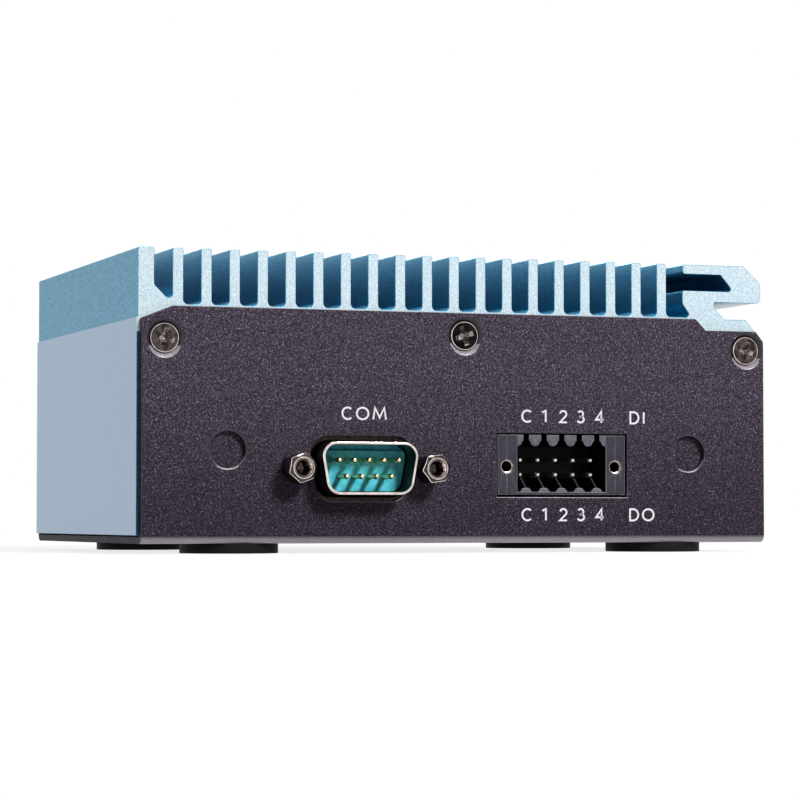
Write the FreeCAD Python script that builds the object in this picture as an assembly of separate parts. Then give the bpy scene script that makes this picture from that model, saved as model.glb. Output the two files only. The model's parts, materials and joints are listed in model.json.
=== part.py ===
import FreeCAD, Part
import math
import os

V = FreeCAD.Vector

# Fanless industrial PC: a finned aluminium profile closes a folded steel tray from above.
# Millimetres, +Z up, +X along the fins' row, -Y out of the front panel.
# While modelling, X = 0 is the middle of the width, Y = 0 the front panel's outer face and
# Z = 0 the underside of the steel tray. Each piece is then moved so that the origin lies in
# the middle of the footprint, on the surface that the feet stand on.

# Chassis
WIDTH = 121.0
DEPTH = 80.0
HEIGHT = 51.75
SHEET = 1.2
BEND_INSIDE = 0.3
TRAY_HALF = 60.1
FOOT_HEIGHT = 1.75
FOOT_RADIUS = 8.8
FOOT_CHAMFER = 0.25
FOOT_INSET_X = 19.0
FOOT_INSET_Y = 9.5

# Heat-sink cover
HALF = WIDTH / 2
LAND_PROUD = 0.3
LAND_TOP = 39.5
SKIRT_GAP = 0.3
WALL = 2.7
UPPER_WALL = 2.95
FIN_COUNT = 19
FIN_PITCH = 5.166
FIN_THICKNESS = 1.94
FIRST_FIN = 6.25 - HALF
VALLEY = 41.9
FIN_ROOT = 0.85
FIN_NOSE = 0.3
PLATE_UNDERSIDE = 38.0
COVER_FRONT = SHEET
COVER_REAR = DEPTH - SHEET

# Panel outline: the tops of the front and rear panels follow the profile
PANEL_TOP = 41.55
PANEL_SHOULDER = 39.3
PANEL_STEP = 39.45
PANEL_STEP_X = 46.15

# Panel screws, M3 countersunk in formed dimples: (x, z)
SCREW_PLACES = [(4.6 - HALF, 35.9), (60.6 - HALF, 37.4), (117.1 - HALF, 35.8)]
DIMPLE_RADIUS = 3.4
DIMPLE_BACK = 3.6
DIMPLE_DEPTH = 2.45
SCREW_HEAD = 2.6
SCREW_SUNK = 0.3
SCREW_CROSS = (1.7, 0.42, 1.5)
SCREW_SHANK = 1.45
SCREW_HOLE = 1.5
SCREW_LENGTH = 9.0

# Half-pierced round slugs in the front panel: (x, z)
SLUG_PLACES = [(16.0 - HALF, 16.45), (105.0 - HALF, 16.4)]
SLUG_RADIUS = 3.25
SLUG_DEPTH = 0.8

# Nine-way plug connector
COM_X = 40.88 - HALF
COM_Z = 13.28
COM_HALF_TOP = 9.43
COM_HEIGHT = 9.35
COM_CORNER = 2.6
COM_WALL = 0.45
COM_SLANT = math.radians(10)
COM_REACH = 4.8
COM_FLANGE = 0.5
COM_ROOT = 0.65
COM_RIM = 0.18
COM_FACE = 0.5
COM_FACE_TOP = 16.49
COM_BASE = 1.9
COM_SPACING = 24.99
COM_PITCH = 2.77
COM_ROW = 2.84
COM_PIN = 0.5
COM_PIN_REACH = 4.2
COM_CUTOUT_GROW = 0.7
COM_CUTOUT_RISE = 0.45
COM_FLANGE_HALF = 15.4
COM_BODY_HALF = 8.3
JACK_ACROSS = 4.75
JACK_REACH = 5.1
JACK_THREAD = 1.42
JACK_CORE = 1.2
JACK_FACE = 1.95
JACK_TURNS = {-1: -10.0, 1: -22.0}

# Ten-way header
HEADER_X = 79.53 - HALF
HEADER_Z = 14.18
HEADER_WIDTH = 25.2
HEADER_HEIGHT = 10.9
HEADER_FRONT = 0.1
HEADER_DEPTH = 12.0
HEADER_PITCH = 3.5
HEADER_COLUMNS = 5
HEADER_CAVITY = 17.55
HEADER_CAVITY_DEPTH = 8.0
HEADER_TOP_WALL = 1.08
HEADER_FLOOR_WALL = 0.5
HEADER_KEY_GAP = 1.1
HEADER_KEY_NOSE = 0.95
HEADER_HUMP = (1.2, 0.77)
HEADER_WEB = 0.3
HEADER_NUT_SPREAD = 10.72
HEADER_NUT_Z = 13.85
HEADER_NUT_RADIUS = 1.7
HEADER_NUT_CORE = 1.05
HEADER_NUT_FRONT = 0.5
HEADER_NUT_LENGTH = 6.2
HEADER_PIN_POINT = (0.25, 0.5)
HEADER_ROWS = [12.45, 15.1]
HEADER_PIN = 1.0
HEADER_PIN_TIP = 3.0
HEADER_CUTOUT = ((-12.8, 13.0), (-5.89, 5.73))

# Boards
BOARD = 1.6
IO_BOARD_TOP = 6.95
PIN_FOOT = IO_BOARD_TOP - BOARD - 0.8
IO_BOARD_X = 55.0
IO_BOARD_Y = (3.4, 76.0)
IO_HOLES_Y = (18.0, 62.0)
CLINCH_RADIUS = 2.1
MAIN_UNDERSIDE = 27.0
MAIN_X = 50.0
MAIN_Y = (5.0, 77.0)
BOARD_HOLE_INSET = 4.0
STANDOFF_ACROSS = 5.5

# Processor and its path to the cover
CPU_PLACE = (-2.0, 38.0)
CPU_SIZE = (31.0, 24.0, 1.3)
PAD_THICKNESS = 0.5
SPREADER_SIZE = (46.0, 40.0)
SPREADER_HOLES = (19.5, 16.5)
SPREADER_SEAT = 34.5

# Board-to-board connector: first pin and spacing
STACK_START = (42.0, 16.0)
STACK_PITCH = 2.54

# Rear connectors: middles across the panel
LAN_X = [-34.5, -17.0]
LAN_SIZE = (16.0, 21.0, 13.4)
LAN_MOUTH = (11.8, 8.0, 13.0)
LAN_LATCH_STEPS = [(3.1, 1.5), (1.7, 2.3)]
USB_X = 0.5
USB_SIZE = (13.2, 17.5, 15.6)
USB_ROOM = (5.15, 0.35)
DISPLAY_X = 20.5
DISPLAY_SIZE = (15.0, 11.5, 6.0)
DC_X = 34.0
DC_SIZE = (13.4, 12.0, 8.6)
DC_PITCH = 3.81
DC_PIN = 1.0
REAR_PROUD = 0.3


def box(x, y, z):
    """Block between two limits along each axis."""
    return Part.makeBox(x[1] - x[0], y[1] - y[0], z[1] - z[0], V(x[0], y[0], z[0]))


def block(middle_x, half_x, y, z):
    """Block centred across X."""
    return box((middle_x - half_x, middle_x + half_x), y, z)


def rod(start, along, radius, length):
    return Part.makeCylinder(radius, length, start, along)


def fuse(solids):
    """One solid from several that meet."""
    solids = list(solids)
    whole = solids[0]
    if len(solids) > 1:
        whole = whole.fuse(solids[1:])
    return whole.removeSplitter()


def wire(corners, place):
    """Closed outline through (a, b, radius) corners; a tangent arc rounds each that has a radius."""
    corners = [(*corner, 0)[:3] for corner in corners]
    count = len(corners)
    turns = []
    for i, (a, b, radius) in enumerate(corners):
        here = V(a, b, 0)
        back = (V(*corners[i - 1][:2], 0) - here).normalize()
        ahead = (V(*corners[(i + 1) % count][:2], 0) - here).normalize()
        half = back.getAngle(ahead) / 2
        reach = radius / math.tan(half)
        middle = here + (back + ahead).normalize() * (radius / math.sin(half) - radius)
        turns.append((here + back * reach, middle, here + ahead * reach, radius))
    edges = []
    for i, (start, middle, end, radius) in enumerate(turns):
        if radius:
            points = [place(p.x, p.y) for p in (start, middle, end)]
            edges.append(Part.Arc(*points).toShape())
        following = turns[(i + 1) % count][0]
        if (following - end).Length > 1e-6:
            edges.append(Part.makeLine(place(end.x, end.y), place(following.x, following.y)))
    return Part.Wire(edges)


def prism_y(corners, y0, y1):
    """Outline in X and Z, drawn out along Y."""
    face = Part.Face(wire(corners, lambda a, b: V(a, y0, b)))
    return face.extrude(V(0, y1 - y0, 0))


def prism_x(corners, x0, x1):
    """Outline in Y and Z, drawn out along X."""
    face = Part.Face(wire(corners, lambda a, b: V(x0, a, b)))
    return face.extrude(V(x1 - x0, 0, 0))


def turned_y(corners, x, z, y=0.0, inward=1):
    """Outline of (radius, depth) corners, turned about an axis along Y through (x, z)."""
    face = Part.Face(wire([(r, d * inward, *f) for r, d, *f in corners], lambda a, b: V(a, b, 0)))
    whole = face.revolve(V(0, 0, 0), V(0, 1, 0), 360)
    return whole.translated(V(x, y, z))


def hexagon_y(across, x, z, y0, y1, turn=0.0):
    """Hexagonal bar along Y; at turn 0 a corner points up."""
    radius = across / math.sqrt(3)
    angles = [math.radians(turn + 90 + 60 * i) for i in range(6)]
    return prism_y([(x + radius * math.cos(a), z + radius * math.sin(a)) for a in angles], y0, y1)


def hexagon_z(across, x, y, z0, z1):
    """Hexagonal bar along Z."""
    radius = across / math.sqrt(3)
    points = [V(x + radius * math.cos(math.pi / 3 * i), y + radius * math.sin(math.pi / 3 * i), z0)
              for i in range(6)]
    return Part.Face(Part.makePolygon(points + points[:1])).extrude(V(0, 0, z1 - z0))


# Panels and cover ------------------------------------------------------------------------------

def panel_outline(bottom):
    """Outline that the front and rear panels share."""
    side = TRAY_HALF
    return [
        (-side, bottom), (-side, PANEL_SHOULDER, 0.3), (6.1 - HALF, PANEL_TOP, 1.5),
        (PANEL_STEP_X, PANEL_TOP, 0.4), (PANEL_STEP_X + 2.1, PANEL_STEP, 0.4),
        (119.1 - HALF, PANEL_STEP, 0.3), (side, 37.6, 0.3), (side, bottom),
    ]


def dimple(x, z, y, inward):
    """Sheet pressed inwards to a cone round a countersunk screw."""
    throat = SCREW_HOLE + 0.1
    section = [(DIMPLE_BACK, 0), (DIMPLE_RADIUS, 0, 0.35), (throat, DIMPLE_RADIUS - throat),
               (throat, DIMPLE_DEPTH), (2.5, DIMPLE_DEPTH, 0.3), (DIMPLE_BACK, SHEET)]
    return turned_y(section, x, z, y, inward)


def dimple_relief(x, z, y, inward):
    """Room for a dimple's back and for the screw's thread in the end of the cover."""
    deep = DIMPLE_DEPTH + 0.1
    cone = [(0, SHEET), (DIMPLE_BACK + 0.1, SHEET), (2.6, deep), (0, deep)]
    bore = rod(V(x, y, z), V(0, inward, 0), SCREW_HOLE, SCREW_LENGTH + 4)
    return turned_y(cone, x, z, y, inward).fuse(bore)


def fins():
    """Corners of the fins from left to right, with round roots and slightly eased noses."""
    corners = []
    for i in range(FIN_COUNT):
        left = FIRST_FIN + i * FIN_PITCH
        right = left + FIN_THICKNESS
        root = FIN_ROOT if i else 0.7
        foot = VALLEY if i else VALLEY + 0.1
        corners += [(left, foot, root), (left, HEIGHT, FIN_NOSE), (right, HEIGHT, FIN_NOSE),
                    (right, VALLEY, FIN_ROOT)]
    return corners


def hook_rail():
    """Corners of the undercut rail at the right: a bar over an inner slot, a lip over an outer one."""
    return [(x - HALF, z, r) for x, z, r in [
        (105.4, VALLEY, 0.3), (105.9, 42.5, 0.4), (104.5, 44.4, 0.8), (104.5, 46.9, 0.4),
        (115.1, 46.9, 0.5), (112.4, 50.0, 0.3), (104.6, 50.0, 0.5), (104.6, HEIGHT, 0.3),
        (117.2, HEIGHT, 0.4), (120.7, 48.6, 0.5), (120.7, 44.85, 1.0), (111.0, 44.8, 0.3),
        (111.0, 43.8, 0.6), (113.2, 41.65, 0.5), (117.7, 41.65, 0.5), (119.4, 39.6, 0.2),
    ]]


def underside():
    """Corners of the inside, from the right skirt to the left one, with the three screw bosses."""
    wall = HALF - WALL + LAND_PROUD
    middle = SCREW_PLACES[1][0]
    return [
        (wall, 31.0, 1.0), (52.6, 32.4, 1.0), (52.6, PLATE_UNDERSIDE, 1.0),
        (middle + 4.2, PLATE_UNDERSIDE, 0.8), (middle + 3.2, 34.2, 1.2),
        (middle - 3.2, 34.2, 1.2), (middle - 4.2, PLATE_UNDERSIDE, 0.8),
        (-51.9, PLATE_UNDERSIDE, 1.0), (-51.9, 32.4, 1.0), (-wall, 31.0, 1.0),
    ]


def heatsink_cover():
    """One extruded profile: fins, thick left wall, skirts with a proud land, and the hook rail."""
    skirt = SHEET + SKIRT_GAP
    land = HALF + LAND_PROUD
    wall = HALF - WALL + LAND_PROUD
    corners = [(-wall, skirt), (-land, skirt), (-land, LAND_TOP), (-HALF, LAND_TOP),
               (-HALF, HEIGHT, 0.3), (-HALF + UPPER_WALL, HEIGHT, 0.3),
               (-HALF + UPPER_WALL, 45.2, 0.8)]
    corners += fins() + hook_rail()
    corners += [(land, 37.6), (land, skirt), (wall, skirt)]
    corners += underside()
    cover = prism_y(corners, COVER_FRONT, COVER_REAR)
    for x, z in SCREW_PLACES:
        cover = cover.cut(dimple_relief(x, z, 0, 1))
        cover = cover.cut(dimple_relief(x, z, DEPTH, -1))
    x, y = CPU_PLACE
    reach = SPREADER_SIZE[1] / 2 + 1
    seat = block(x, SPREADER_SIZE[0] / 2 + 1, (y - reach, y + reach), (30, PLATE_UNDERSIDE))
    cover = cover.cut(seat)
    for x, y in mainboard_holes() + spreader_holes():
        cover = cover.cut(rod(V(x, y, PLATE_UNDERSIDE - 0.1), V(0, 0, 1), SCREW_HOLE, 3.1))
    return cover


def tray_fold():
    """Front panel, bottom and rear panel as one folded sheet, still without its cut-outs."""
    outer = BEND_INSIDE + SHEET
    inner = SHEET
    return prism_x([
        (0, PANEL_TOP), (0, 0, outer), (DEPTH, 0, outer), (DEPTH, PANEL_TOP),
        (DEPTH - inner, PANEL_TOP), (DEPTH - inner, inner, BEND_INSIDE),
        (inner, inner, BEND_INSIDE), (inner, PANEL_TOP)], -TRAY_HALF, TRAY_HALF)


def front_cutouts():
    """Everything that is punched out of the front panel."""
    through = (-1, SHEET + 1)
    cuts = [prism_y(d_section(-COM_CUTOUT_GROW, COM_X, COM_Z, COM_CUTOUT_RISE), *through)]
    for side in (-1, 1):
        start = V(COM_X + side * COM_SPACING / 2, through[0], COM_Z)
        cuts.append(rod(start, V(0, 1, 0), JACK_THREAD + 0.18, through[1] - through[0]))
    (left, right), (low, high) = HEADER_CUTOUT
    cuts.append(box((HEADER_X + left, HEADER_X + right), through,
                    (HEADER_Z + low, HEADER_Z + high)))
    return cuts


def rear_cutouts():
    """Everything that is punched out of the rear panel."""
    through = (DEPTH - SHEET - 1, DEPTH + 1)
    slack = 0.3
    cuts = []
    hung = [(x, LAN_SIZE) for x in LAN_X] + [(USB_X, USB_SIZE), (DISPLAY_X, DISPLAY_SIZE)]
    for x, size in hung:
        z = (MAIN_UNDERSIDE - size[2] - slack, MAIN_UNDERSIDE + slack)
        cuts.append(block(x, size[0] / 2 + slack, through, z))
    z = (IO_BOARD_TOP - slack, IO_BOARD_TOP + DC_SIZE[2] + slack)
    cuts.append(block(DC_X, DC_SIZE[0] / 2 + slack, through, z))
    return cuts


def chassis_tray():
    """Folded sheet with trimmed panel tops, cut-outs, screw dimples and half-pierced slugs."""
    keep = prism_y(panel_outline(-1), -1, DEPTH + 1)
    tray = tray_fold()
    for x, z in SCREW_PLACES:
        tray = tray.cut(rod(V(x, -1, z), V(0, 1, 0), DIMPLE_BACK, DEPTH + 2))
    dimples = [dimple(x, z, 0, 1) for x, z in SCREW_PLACES]
    dimples += [dimple(x, z, DEPTH, -1) for x, z in SCREW_PLACES]
    tray = tray.fuse(dimples).common(keep)
    for cut in front_cutouts() + rear_cutouts():
        tray = tray.cut(cut)
    for x, z in SLUG_PLACES:
        tray = tray.cut(rod(V(x, -1, z), V(0, 1, 0), SLUG_RADIUS, 1 + SLUG_DEPTH))
        tray = tray.fuse(rod(V(x, SHEET, z), V(0, 1, 0), SLUG_RADIUS - 0.05, SLUG_DEPTH))
    for x, y in io_board_holes():
        tray = tray.cut(rod(V(x, y, -1), V(0, 0, 1), CLINCH_RADIUS, SHEET + 2))
    return tray.removeSplitter()


def foot(x, y):
    """Round self-adhesive rubber foot with a chamfered lower edge."""
    section = [(0, 0), (FOOT_RADIUS, 0), (FOOT_RADIUS, FOOT_CHAMFER - FOOT_HEIGHT),
               (FOOT_RADIUS - FOOT_CHAMFER, -FOOT_HEIGHT), (0, -FOOT_HEIGHT)]
    face = Part.Face(wire(section, lambda a, b: V(a, 0, b)))
    return face.revolve(V(0, 0, 0), V(0, 0, 1), 360).translated(V(x, y, 0))


def panel_screw(x, z, y, inward):
    """M3 countersunk screw: a flat head with an eased rim and a cross recess, seated in its dimple."""
    cone = DIMPLE_RADIUS - 0.03
    section = [(0, SCREW_SUNK), (SCREW_HEAD - 0.12, SCREW_SUNK), (SCREW_HEAD, SCREW_SUNK + 0.12),
               (SCREW_HEAD, cone - SCREW_HEAD), (SCREW_SHANK, cone - SCREW_SHANK),
               (SCREW_SHANK, SCREW_LENGTH, 0.3), (0, SCREW_LENGTH)]
    screw = turned_y(section, x, z, y, inward)
    arm, half, deep = SCREW_CROSS
    depth = sorted((y, y + (SCREW_SUNK + deep) * inward))
    for half_x, half_z in ((arm, half), (half, arm)):
        screw = screw.cut(block(x, half_x, depth, (z - half_z, z + half_z)))
    return screw


# Nine-way plug connector -----------------------------------------------------------------------

def d_section(inset, x, z, rise=0.0):
    """D-shaped outline, wider at the top: set in from the shell's outside, and made taller by rise."""
    half_z = COM_HEIGHT / 2 - inset + rise
    half_top = COM_HALF_TOP - inset / math.cos(COM_SLANT) - inset * math.tan(COM_SLANT)
    half_bottom = half_top - 2 * half_z * math.tan(COM_SLANT)
    corner = COM_CORNER - inset
    return [(x - half_top, z + half_z, corner), (x + half_top, z + half_z, corner),
            (x + half_bottom, z - half_z, corner), (x - half_bottom, z - half_z, corner)]


def com_shell():
    """Drawn steel shell: a D-shaped sleeve that flows into a flat flange behind the panel."""
    flange_back = SHEET + COM_FLANGE
    sleeve = prism_y(d_section(0, COM_X, COM_Z), -COM_REACH, flange_back)
    flange = prism_y([(COM_X + a * COM_FLANGE_HALF, COM_Z + b * 6.2, 1.2)
                      for a, b in ((-1, 1), (1, 1), (1, -1), (-1, -1))], SHEET, flange_back)
    shell = sleeve.fuse(flange).removeSplitter()
    root = [e for e in shell.Edges if e.BoundBox.YLength < 1e-6
            and abs(e.BoundBox.YMin - SHEET) < 1e-6
            and abs(e.BoundBox.Center.x - COM_X) < 10
            and max(abs(v.Z - COM_Z) for v in e.Vertexes) < COM_HEIGHT / 2 + 0.01]
    shell = shell.makeFillet(COM_ROOT, root)
    rim = [e for e in shell.Edges if e.BoundBox.YMax < -COM_REACH + 1e-6]
    shell = shell.makeFillet(COM_RIM, rim)
    shell = shell.cut(prism_y(d_section(COM_WALL, COM_X, COM_Z), -COM_REACH - 1, flange_back + 1))
    for side in (-1, 1):
        start = V(COM_X + side * COM_SPACING / 2, 0, COM_Z)
        shell = shell.cut(rod(start, V(0, 1, 0), 1.6, 4))
    return shell


def com_pin_places():
    """(x, z, row) of the nine pins: five above, four below between them."""
    places = []
    for row, count in ((0, 5), (1, 4)):
        for i in range(count):
            x = COM_X + (i - (count - 1) / 2) * COM_PITCH
            places.append((x, COM_Z + (0.5 - row) * COM_ROW, row))
    return places


def com_tail(row):
    """Distance behind the panel's face at which a row's pins turn down into the board."""
    return 12.0 - 2.84 * row


def com_insulator():
    """Moulded insert: a face in the sleeve that stands clear of its top, a base and a rear body."""
    slack = COM_WALL + 0.03
    back = SHEET + COM_FLANGE
    face = prism_y(d_section(slack + 0.15, COM_X, COM_Z), COM_FACE, COM_BASE)
    face = face.cut(block(COM_X, COM_HALF_TOP, (0, back), (COM_FACE_TOP, COM_FACE_TOP + 3)))
    base = prism_y(d_section(slack, COM_X, COM_Z), COM_BASE, back + 0.5)
    rear = block(COM_X, COM_BODY_HALF, (back + 0.03, 8.0), (COM_Z - 4.4, COM_Z + 4.4))
    whole = fuse([face, base, rear])
    for x, z, row in com_pin_places():
        whole = whole.cut(rod(V(x, -1, z), V(0, 1, 0), COM_PIN + 0.02, 12))
    return whole


def com_pins():
    """Nine gold-plated pins with eased tips, each turned down through the board at the back."""
    pins = []
    taper = 0.4
    for x, z, row in com_pin_places():
        tail = com_tail(row)
        tip = Part.makeCone(0.28, COM_PIN, taper, V(x, -COM_PIN_REACH, z), V(0, 1, 0))
        reach = rod(V(x, taper - COM_PIN_REACH, z), V(0, 1, 0), COM_PIN,
                    tail + COM_PIN_REACH - taper)
        elbow = Part.makeSphere(COM_PIN, V(x, tail, z))
        drop = rod(V(x, tail, PIN_FOOT), V(0, 0, 1), COM_PIN, z - PIN_FOOT)
        pins.append(fuse([tip, reach, elbow, drop]))
    return pins


def com_bracket():
    """Moulded bracket behind the flange: it stands on the board and holds the screws' nuts."""
    front = SHEET + COM_FLANGE + 0.02
    pillar_back = front + 4.5
    bridge_front = 8.1
    bridge_back = 9.6
    waist = COM_BODY_HALF + 0.2
    low = COM_Z + 1.6
    high = COM_Z + 4.0
    bracket = block(COM_X, COM_FLANGE_HALF, (front, pillar_back), (IO_BOARD_TOP, high))
    bracket = bracket.cut(block(COM_X, waist, (front - 1, pillar_back + 1), (0, high + 1)))
    bridge = block(COM_X, COM_FLANGE_HALF, (bridge_front, bridge_back), (low, high))
    for side in (-1, 1):
        arm_x = (waist + COM_FLANGE_HALF) / 2
        arm_half = (COM_FLANGE_HALF - waist) / 2
        arm = block(COM_X + side * arm_x, arm_half, (pillar_back - 0.5, bridge_back), (low, high))
        bridge = bridge.fuse(arm)
    bridge = bridge.cut(block(COM_X, waist, (bridge_front - 0.1, bridge_back + 1), (0, high - 1)))
    bracket = bracket.fuse(bridge)
    for side in (-1, 1):
        start = V(COM_X + side * COM_SPACING / 2, 0, COM_Z)
        bracket = bracket.cut(rod(start, V(0, 1, 0), JACK_THREAD + 0.03, 12))
    return bracket.removeSplitter()


def com_jack_screws():
    """Two hexagonal screws with a tapped nose that a cable plug's thumbscrews enter."""
    screws = []
    corner = JACK_ACROSS / math.sqrt(3) - 0.08
    for side in (-1, 1):
        x = COM_X + side * COM_SPACING / 2
        head = hexagon_y(JACK_ACROSS, x, COM_Z, -JACK_REACH, 0, JACK_TURNS[side])
        envelope = turned_y([(0, -JACK_REACH), (JACK_FACE, -JACK_REACH),
                             (corner, -JACK_REACH + 0.4), (corner, 0), (0, 0)], x, COM_Z)
        stud = rod(V(x, 0, COM_Z), V(0, 1, 0), JACK_THREAD, 6.0)
        screw = head.common(envelope).fuse(stud)
        bore = turned_y([(0, -JACK_REACH - 0.1), (JACK_CORE + 0.45, -JACK_REACH - 0.1),
                         (JACK_CORE, -JACK_REACH + 0.4), (JACK_CORE, -0.6), (0, 0.1)], x, COM_Z)
        screws.append(screw.cut(bore).removeSplitter())
    return screws


# Ten-way header --------------------------------------------------------------------------------

def header_columns():
    return [HEADER_X + (i - (HEADER_COLUMNS - 1) / 2) * HEADER_PITCH for i in range(HEADER_COLUMNS)]


def header_key(x):
    """Rib under the cavity's top wall, between two key slots: square above, with a round nose."""
    half = (HEADER_PITCH - HEADER_KEY_GAP) / 2
    nose = HEADER_KEY_NOSE
    top = HEADER_Z + HEADER_HEIGHT / 2
    under = top - HEADER_TOP_WALL
    return prism_y([(x - half, top), (x + half, top), (x + half, under), (x + nose, under),
                    (x + nose, under - nose, nose - 0.01), (x - nose, under - nose, nose - 0.01),
                    (x - nose, under), (x - half, under)],
                   HEADER_FRONT, HEADER_CAVITY_DEPTH)


def header_rib(x):
    """Low round rib along the cavity's floor, with a thin web that rises to the pin above it."""
    half, height = HEADER_HUMP
    floor = HEADER_Z - HEADER_HEIGHT / 2 + HEADER_FLOOR_WALL - 0.01
    front = HEADER_FRONT + 0.1
    hump = prism_y([(x - half, floor), (x - half / 2, floor + height, height),
                    (x + half / 2, floor + height, height), (x + half, floor)],
                   front, HEADER_CAVITY_DEPTH)
    pin_under = HEADER_ROWS[0] - HEADER_PIN / 2 - 0.1
    web = prism_x([(front + 0.2, floor), (front + 0.2, floor + height),
                   (HEADER_PIN_TIP, pin_under), (HEADER_CAVITY_DEPTH, pin_under),
                   (HEADER_CAVITY_DEPTH, floor)], x - HEADER_WEB / 2, x + HEADER_WEB / 2)
    return hump.fuse(web)


def io_header_housing():
    """Moulded flanged housing with key slots above and ribs below its cavity."""
    half = HEADER_WIDTH / 2
    low = HEADER_Z - HEADER_HEIGHT / 2
    top = HEADER_Z + HEADER_HEIGHT / 2
    floor = low + HEADER_FLOOR_WALL
    roof = top - HEADER_TOP_WALL
    cavity = HEADER_CAVITY / 2
    deep = HEADER_CAVITY_DEPTH
    before = HEADER_FRONT - 1
    body = block(HEADER_X, half, (HEADER_FRONT, HEADER_DEPTH), (low, top))
    heel = block(HEADER_X, half, (SHEET + 1.0, HEADER_DEPTH), (IO_BOARD_TOP, low + 0.5))
    body = body.fuse(heel)
    body = body.cut(block(HEADER_X, cavity, (before, deep), (floor, roof)))
    body = body.cut([block(x, HEADER_KEY_GAP / 2, (before, deep - 2), (roof - 1, top + 1))
                     for x in header_columns()])
    keys = [header_key(x + HEADER_PITCH / 2) for x in header_columns()[:-1]]
    inside = block(HEADER_X, cavity, (HEADER_FRONT, deep), (low, top))
    for side in (-1, 1):
        outer_key = header_key(HEADER_X + side * HEADER_PITCH * HEADER_COLUMNS / 2)
        keys.append(outer_key.common(inside))
    body = body.fuse(keys + [header_rib(x) for x in header_columns()])
    for side in (-1, 1):
        x = HEADER_X + side * HEADER_NUT_SPREAD
        nut_room = HEADER_NUT_LENGTH + 0.1
        mouth = HEADER_NUT_RADIUS - 0.45
        body = body.cut(rod(V(x, before, HEADER_NUT_Z), V(0, 1, 0), mouth, 3))
        body = body.cut(rod(V(x, HEADER_NUT_FRONT - 0.02, HEADER_NUT_Z), V(0, 1, 0),
                            HEADER_NUT_RADIUS, nut_room))
        seam = block(x, 0.06, (before, HEADER_FRONT + 0.12), (low - 1, top + 1))
        body = body.cut(seam)
    half_hole = HEADER_PIN / 2 + 0.01
    for x in header_columns():
        for z in HEADER_ROWS:
            body = body.cut(block(x, half_hole, (1, HEADER_DEPTH + 1),
                                  (z - half_hole, z + half_hole)))
    return body.removeSplitter()


def header_tail(row):
    """Distance behind the panel's face at which a row's pins turn down into the board."""
    return HEADER_DEPTH + 1.4 + 2.5 * row


def square_y(x, y, z, half):
    """Square outline across Y."""
    corners = [V(x + a * half, y, z + b * half) for a, b in ((-1, -1), (1, -1), (1, 1), (-1, 1))]
    return Part.makePolygon(corners + corners[:1])


def io_header_pins():
    """Ten square pins with pointed tips, each turned down through the board at the back."""
    pins = []
    half = HEADER_PIN / 2
    point_half, point_length = HEADER_PIN_POINT
    shoulder = HEADER_PIN_TIP + point_length
    for x in header_columns():
        for row, z in enumerate(HEADER_ROWS):
            tail = header_tail(row)
            reach = block(x, half, (shoulder, tail + half), (z - half, z + half))
            tip = Part.makeLoft([square_y(x, HEADER_PIN_TIP, z, point_half),
                                 square_y(x, shoulder, z, half)], True)
            drop = block(x, half, (tail - half, tail + half), (PIN_FOOT, z - half))
            pins.append(fuse([reach, tip, drop]))
    return pins


def io_header_nuts():
    """Threaded metal inserts behind the flange holes, countersunk in front."""
    nuts = []
    radius = HEADER_NUT_RADIUS - 0.02
    core = HEADER_NUT_CORE
    for side in (-1, 1):
        section = [(core + 0.2, 0), (radius, 0), (radius, HEADER_NUT_LENGTH),
                   (core, HEADER_NUT_LENGTH), (core, 0.2)]
        nuts.append(turned_y(section, HEADER_X + side * HEADER_NUT_SPREAD, HEADER_NUT_Z,
                             HEADER_NUT_FRONT))
    return nuts


# Boards and what they carry --------------------------------------------------------------------

def corner_places(half_x, y):
    inset = BOARD_HOLE_INSET
    return [(a * (half_x - inset), b) for a in (-1, 1) for b in (y[0] + inset, y[1] - inset)]


def io_board_holes():
    return corner_places(IO_BOARD_X, IO_HOLES_Y)


def mainboard_holes():
    return corner_places(MAIN_X, MAIN_Y)


def spreader_holes():
    x, y = CPU_PLACE
    reach_x, reach_y = SPREADER_HOLES
    return [(x + a * reach_x, y + b * reach_y) for a in (-1, 1) for b in (-1, 1)]


def io_board():
    """Lower board: the front connectors, the storage module and the supply inlet."""
    z = (IO_BOARD_TOP - BOARD, IO_BOARD_TOP)
    board = block(0, IO_BOARD_X, IO_BOARD_Y, z)
    holes = [rod(V(x, y, 0), V(0, 0, 1), 1.6, 10) for x, y in io_board_holes()]
    for x, _, row in com_pin_places():
        holes.append(rod(V(x, com_tail(row), 0), V(0, 0, 1), COM_PIN + 0.05, 10))
    half = HEADER_PIN / 2 + 0.05
    for x in header_columns():
        for row in (0, 1):
            tail = header_tail(row)
            holes.append(block(x, half, (tail - half, tail + half), (0, 10)))
    return board.cut(holes)


def mainboard():
    """Upper board: the processor faces up to the cover, the rear sockets hang below."""
    board = block(0, MAIN_X, MAIN_Y, (MAIN_UNDERSIDE, MAIN_UNDERSIDE + BOARD))
    return board.cut([rod(V(x, y, 20), V(0, 0, 1), 1.6, 20) for x, y in mainboard_holes()])


def standoffs(places, z0, z1):
    """Hexagonal spacers, bored through."""
    spacers = []
    for x, y in places:
        spacer = hexagon_z(STANDOFF_ACROSS, x, y, z0, z1)
        spacers.append(spacer.cut(rod(V(x, y, z0 - 1), V(0, 0, 1), SCREW_HOLE, z1 - z0 + 2)))
    return spacers


def clinched_standoffs():
    """Spacers pressed into the tray's floor, each with a round foot flush with its underside."""
    spacers = []
    for spacer, (x, y) in zip(standoffs(io_board_holes(), SHEET, IO_BOARD_TOP - BOARD),
                              io_board_holes()):
        pressed = rod(V(x, y, 0), V(0, 0, 1), CLINCH_RADIUS - 0.02, SHEET)
        spacers.append(spacer.fuse(pressed).removeSplitter())
    return spacers


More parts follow.
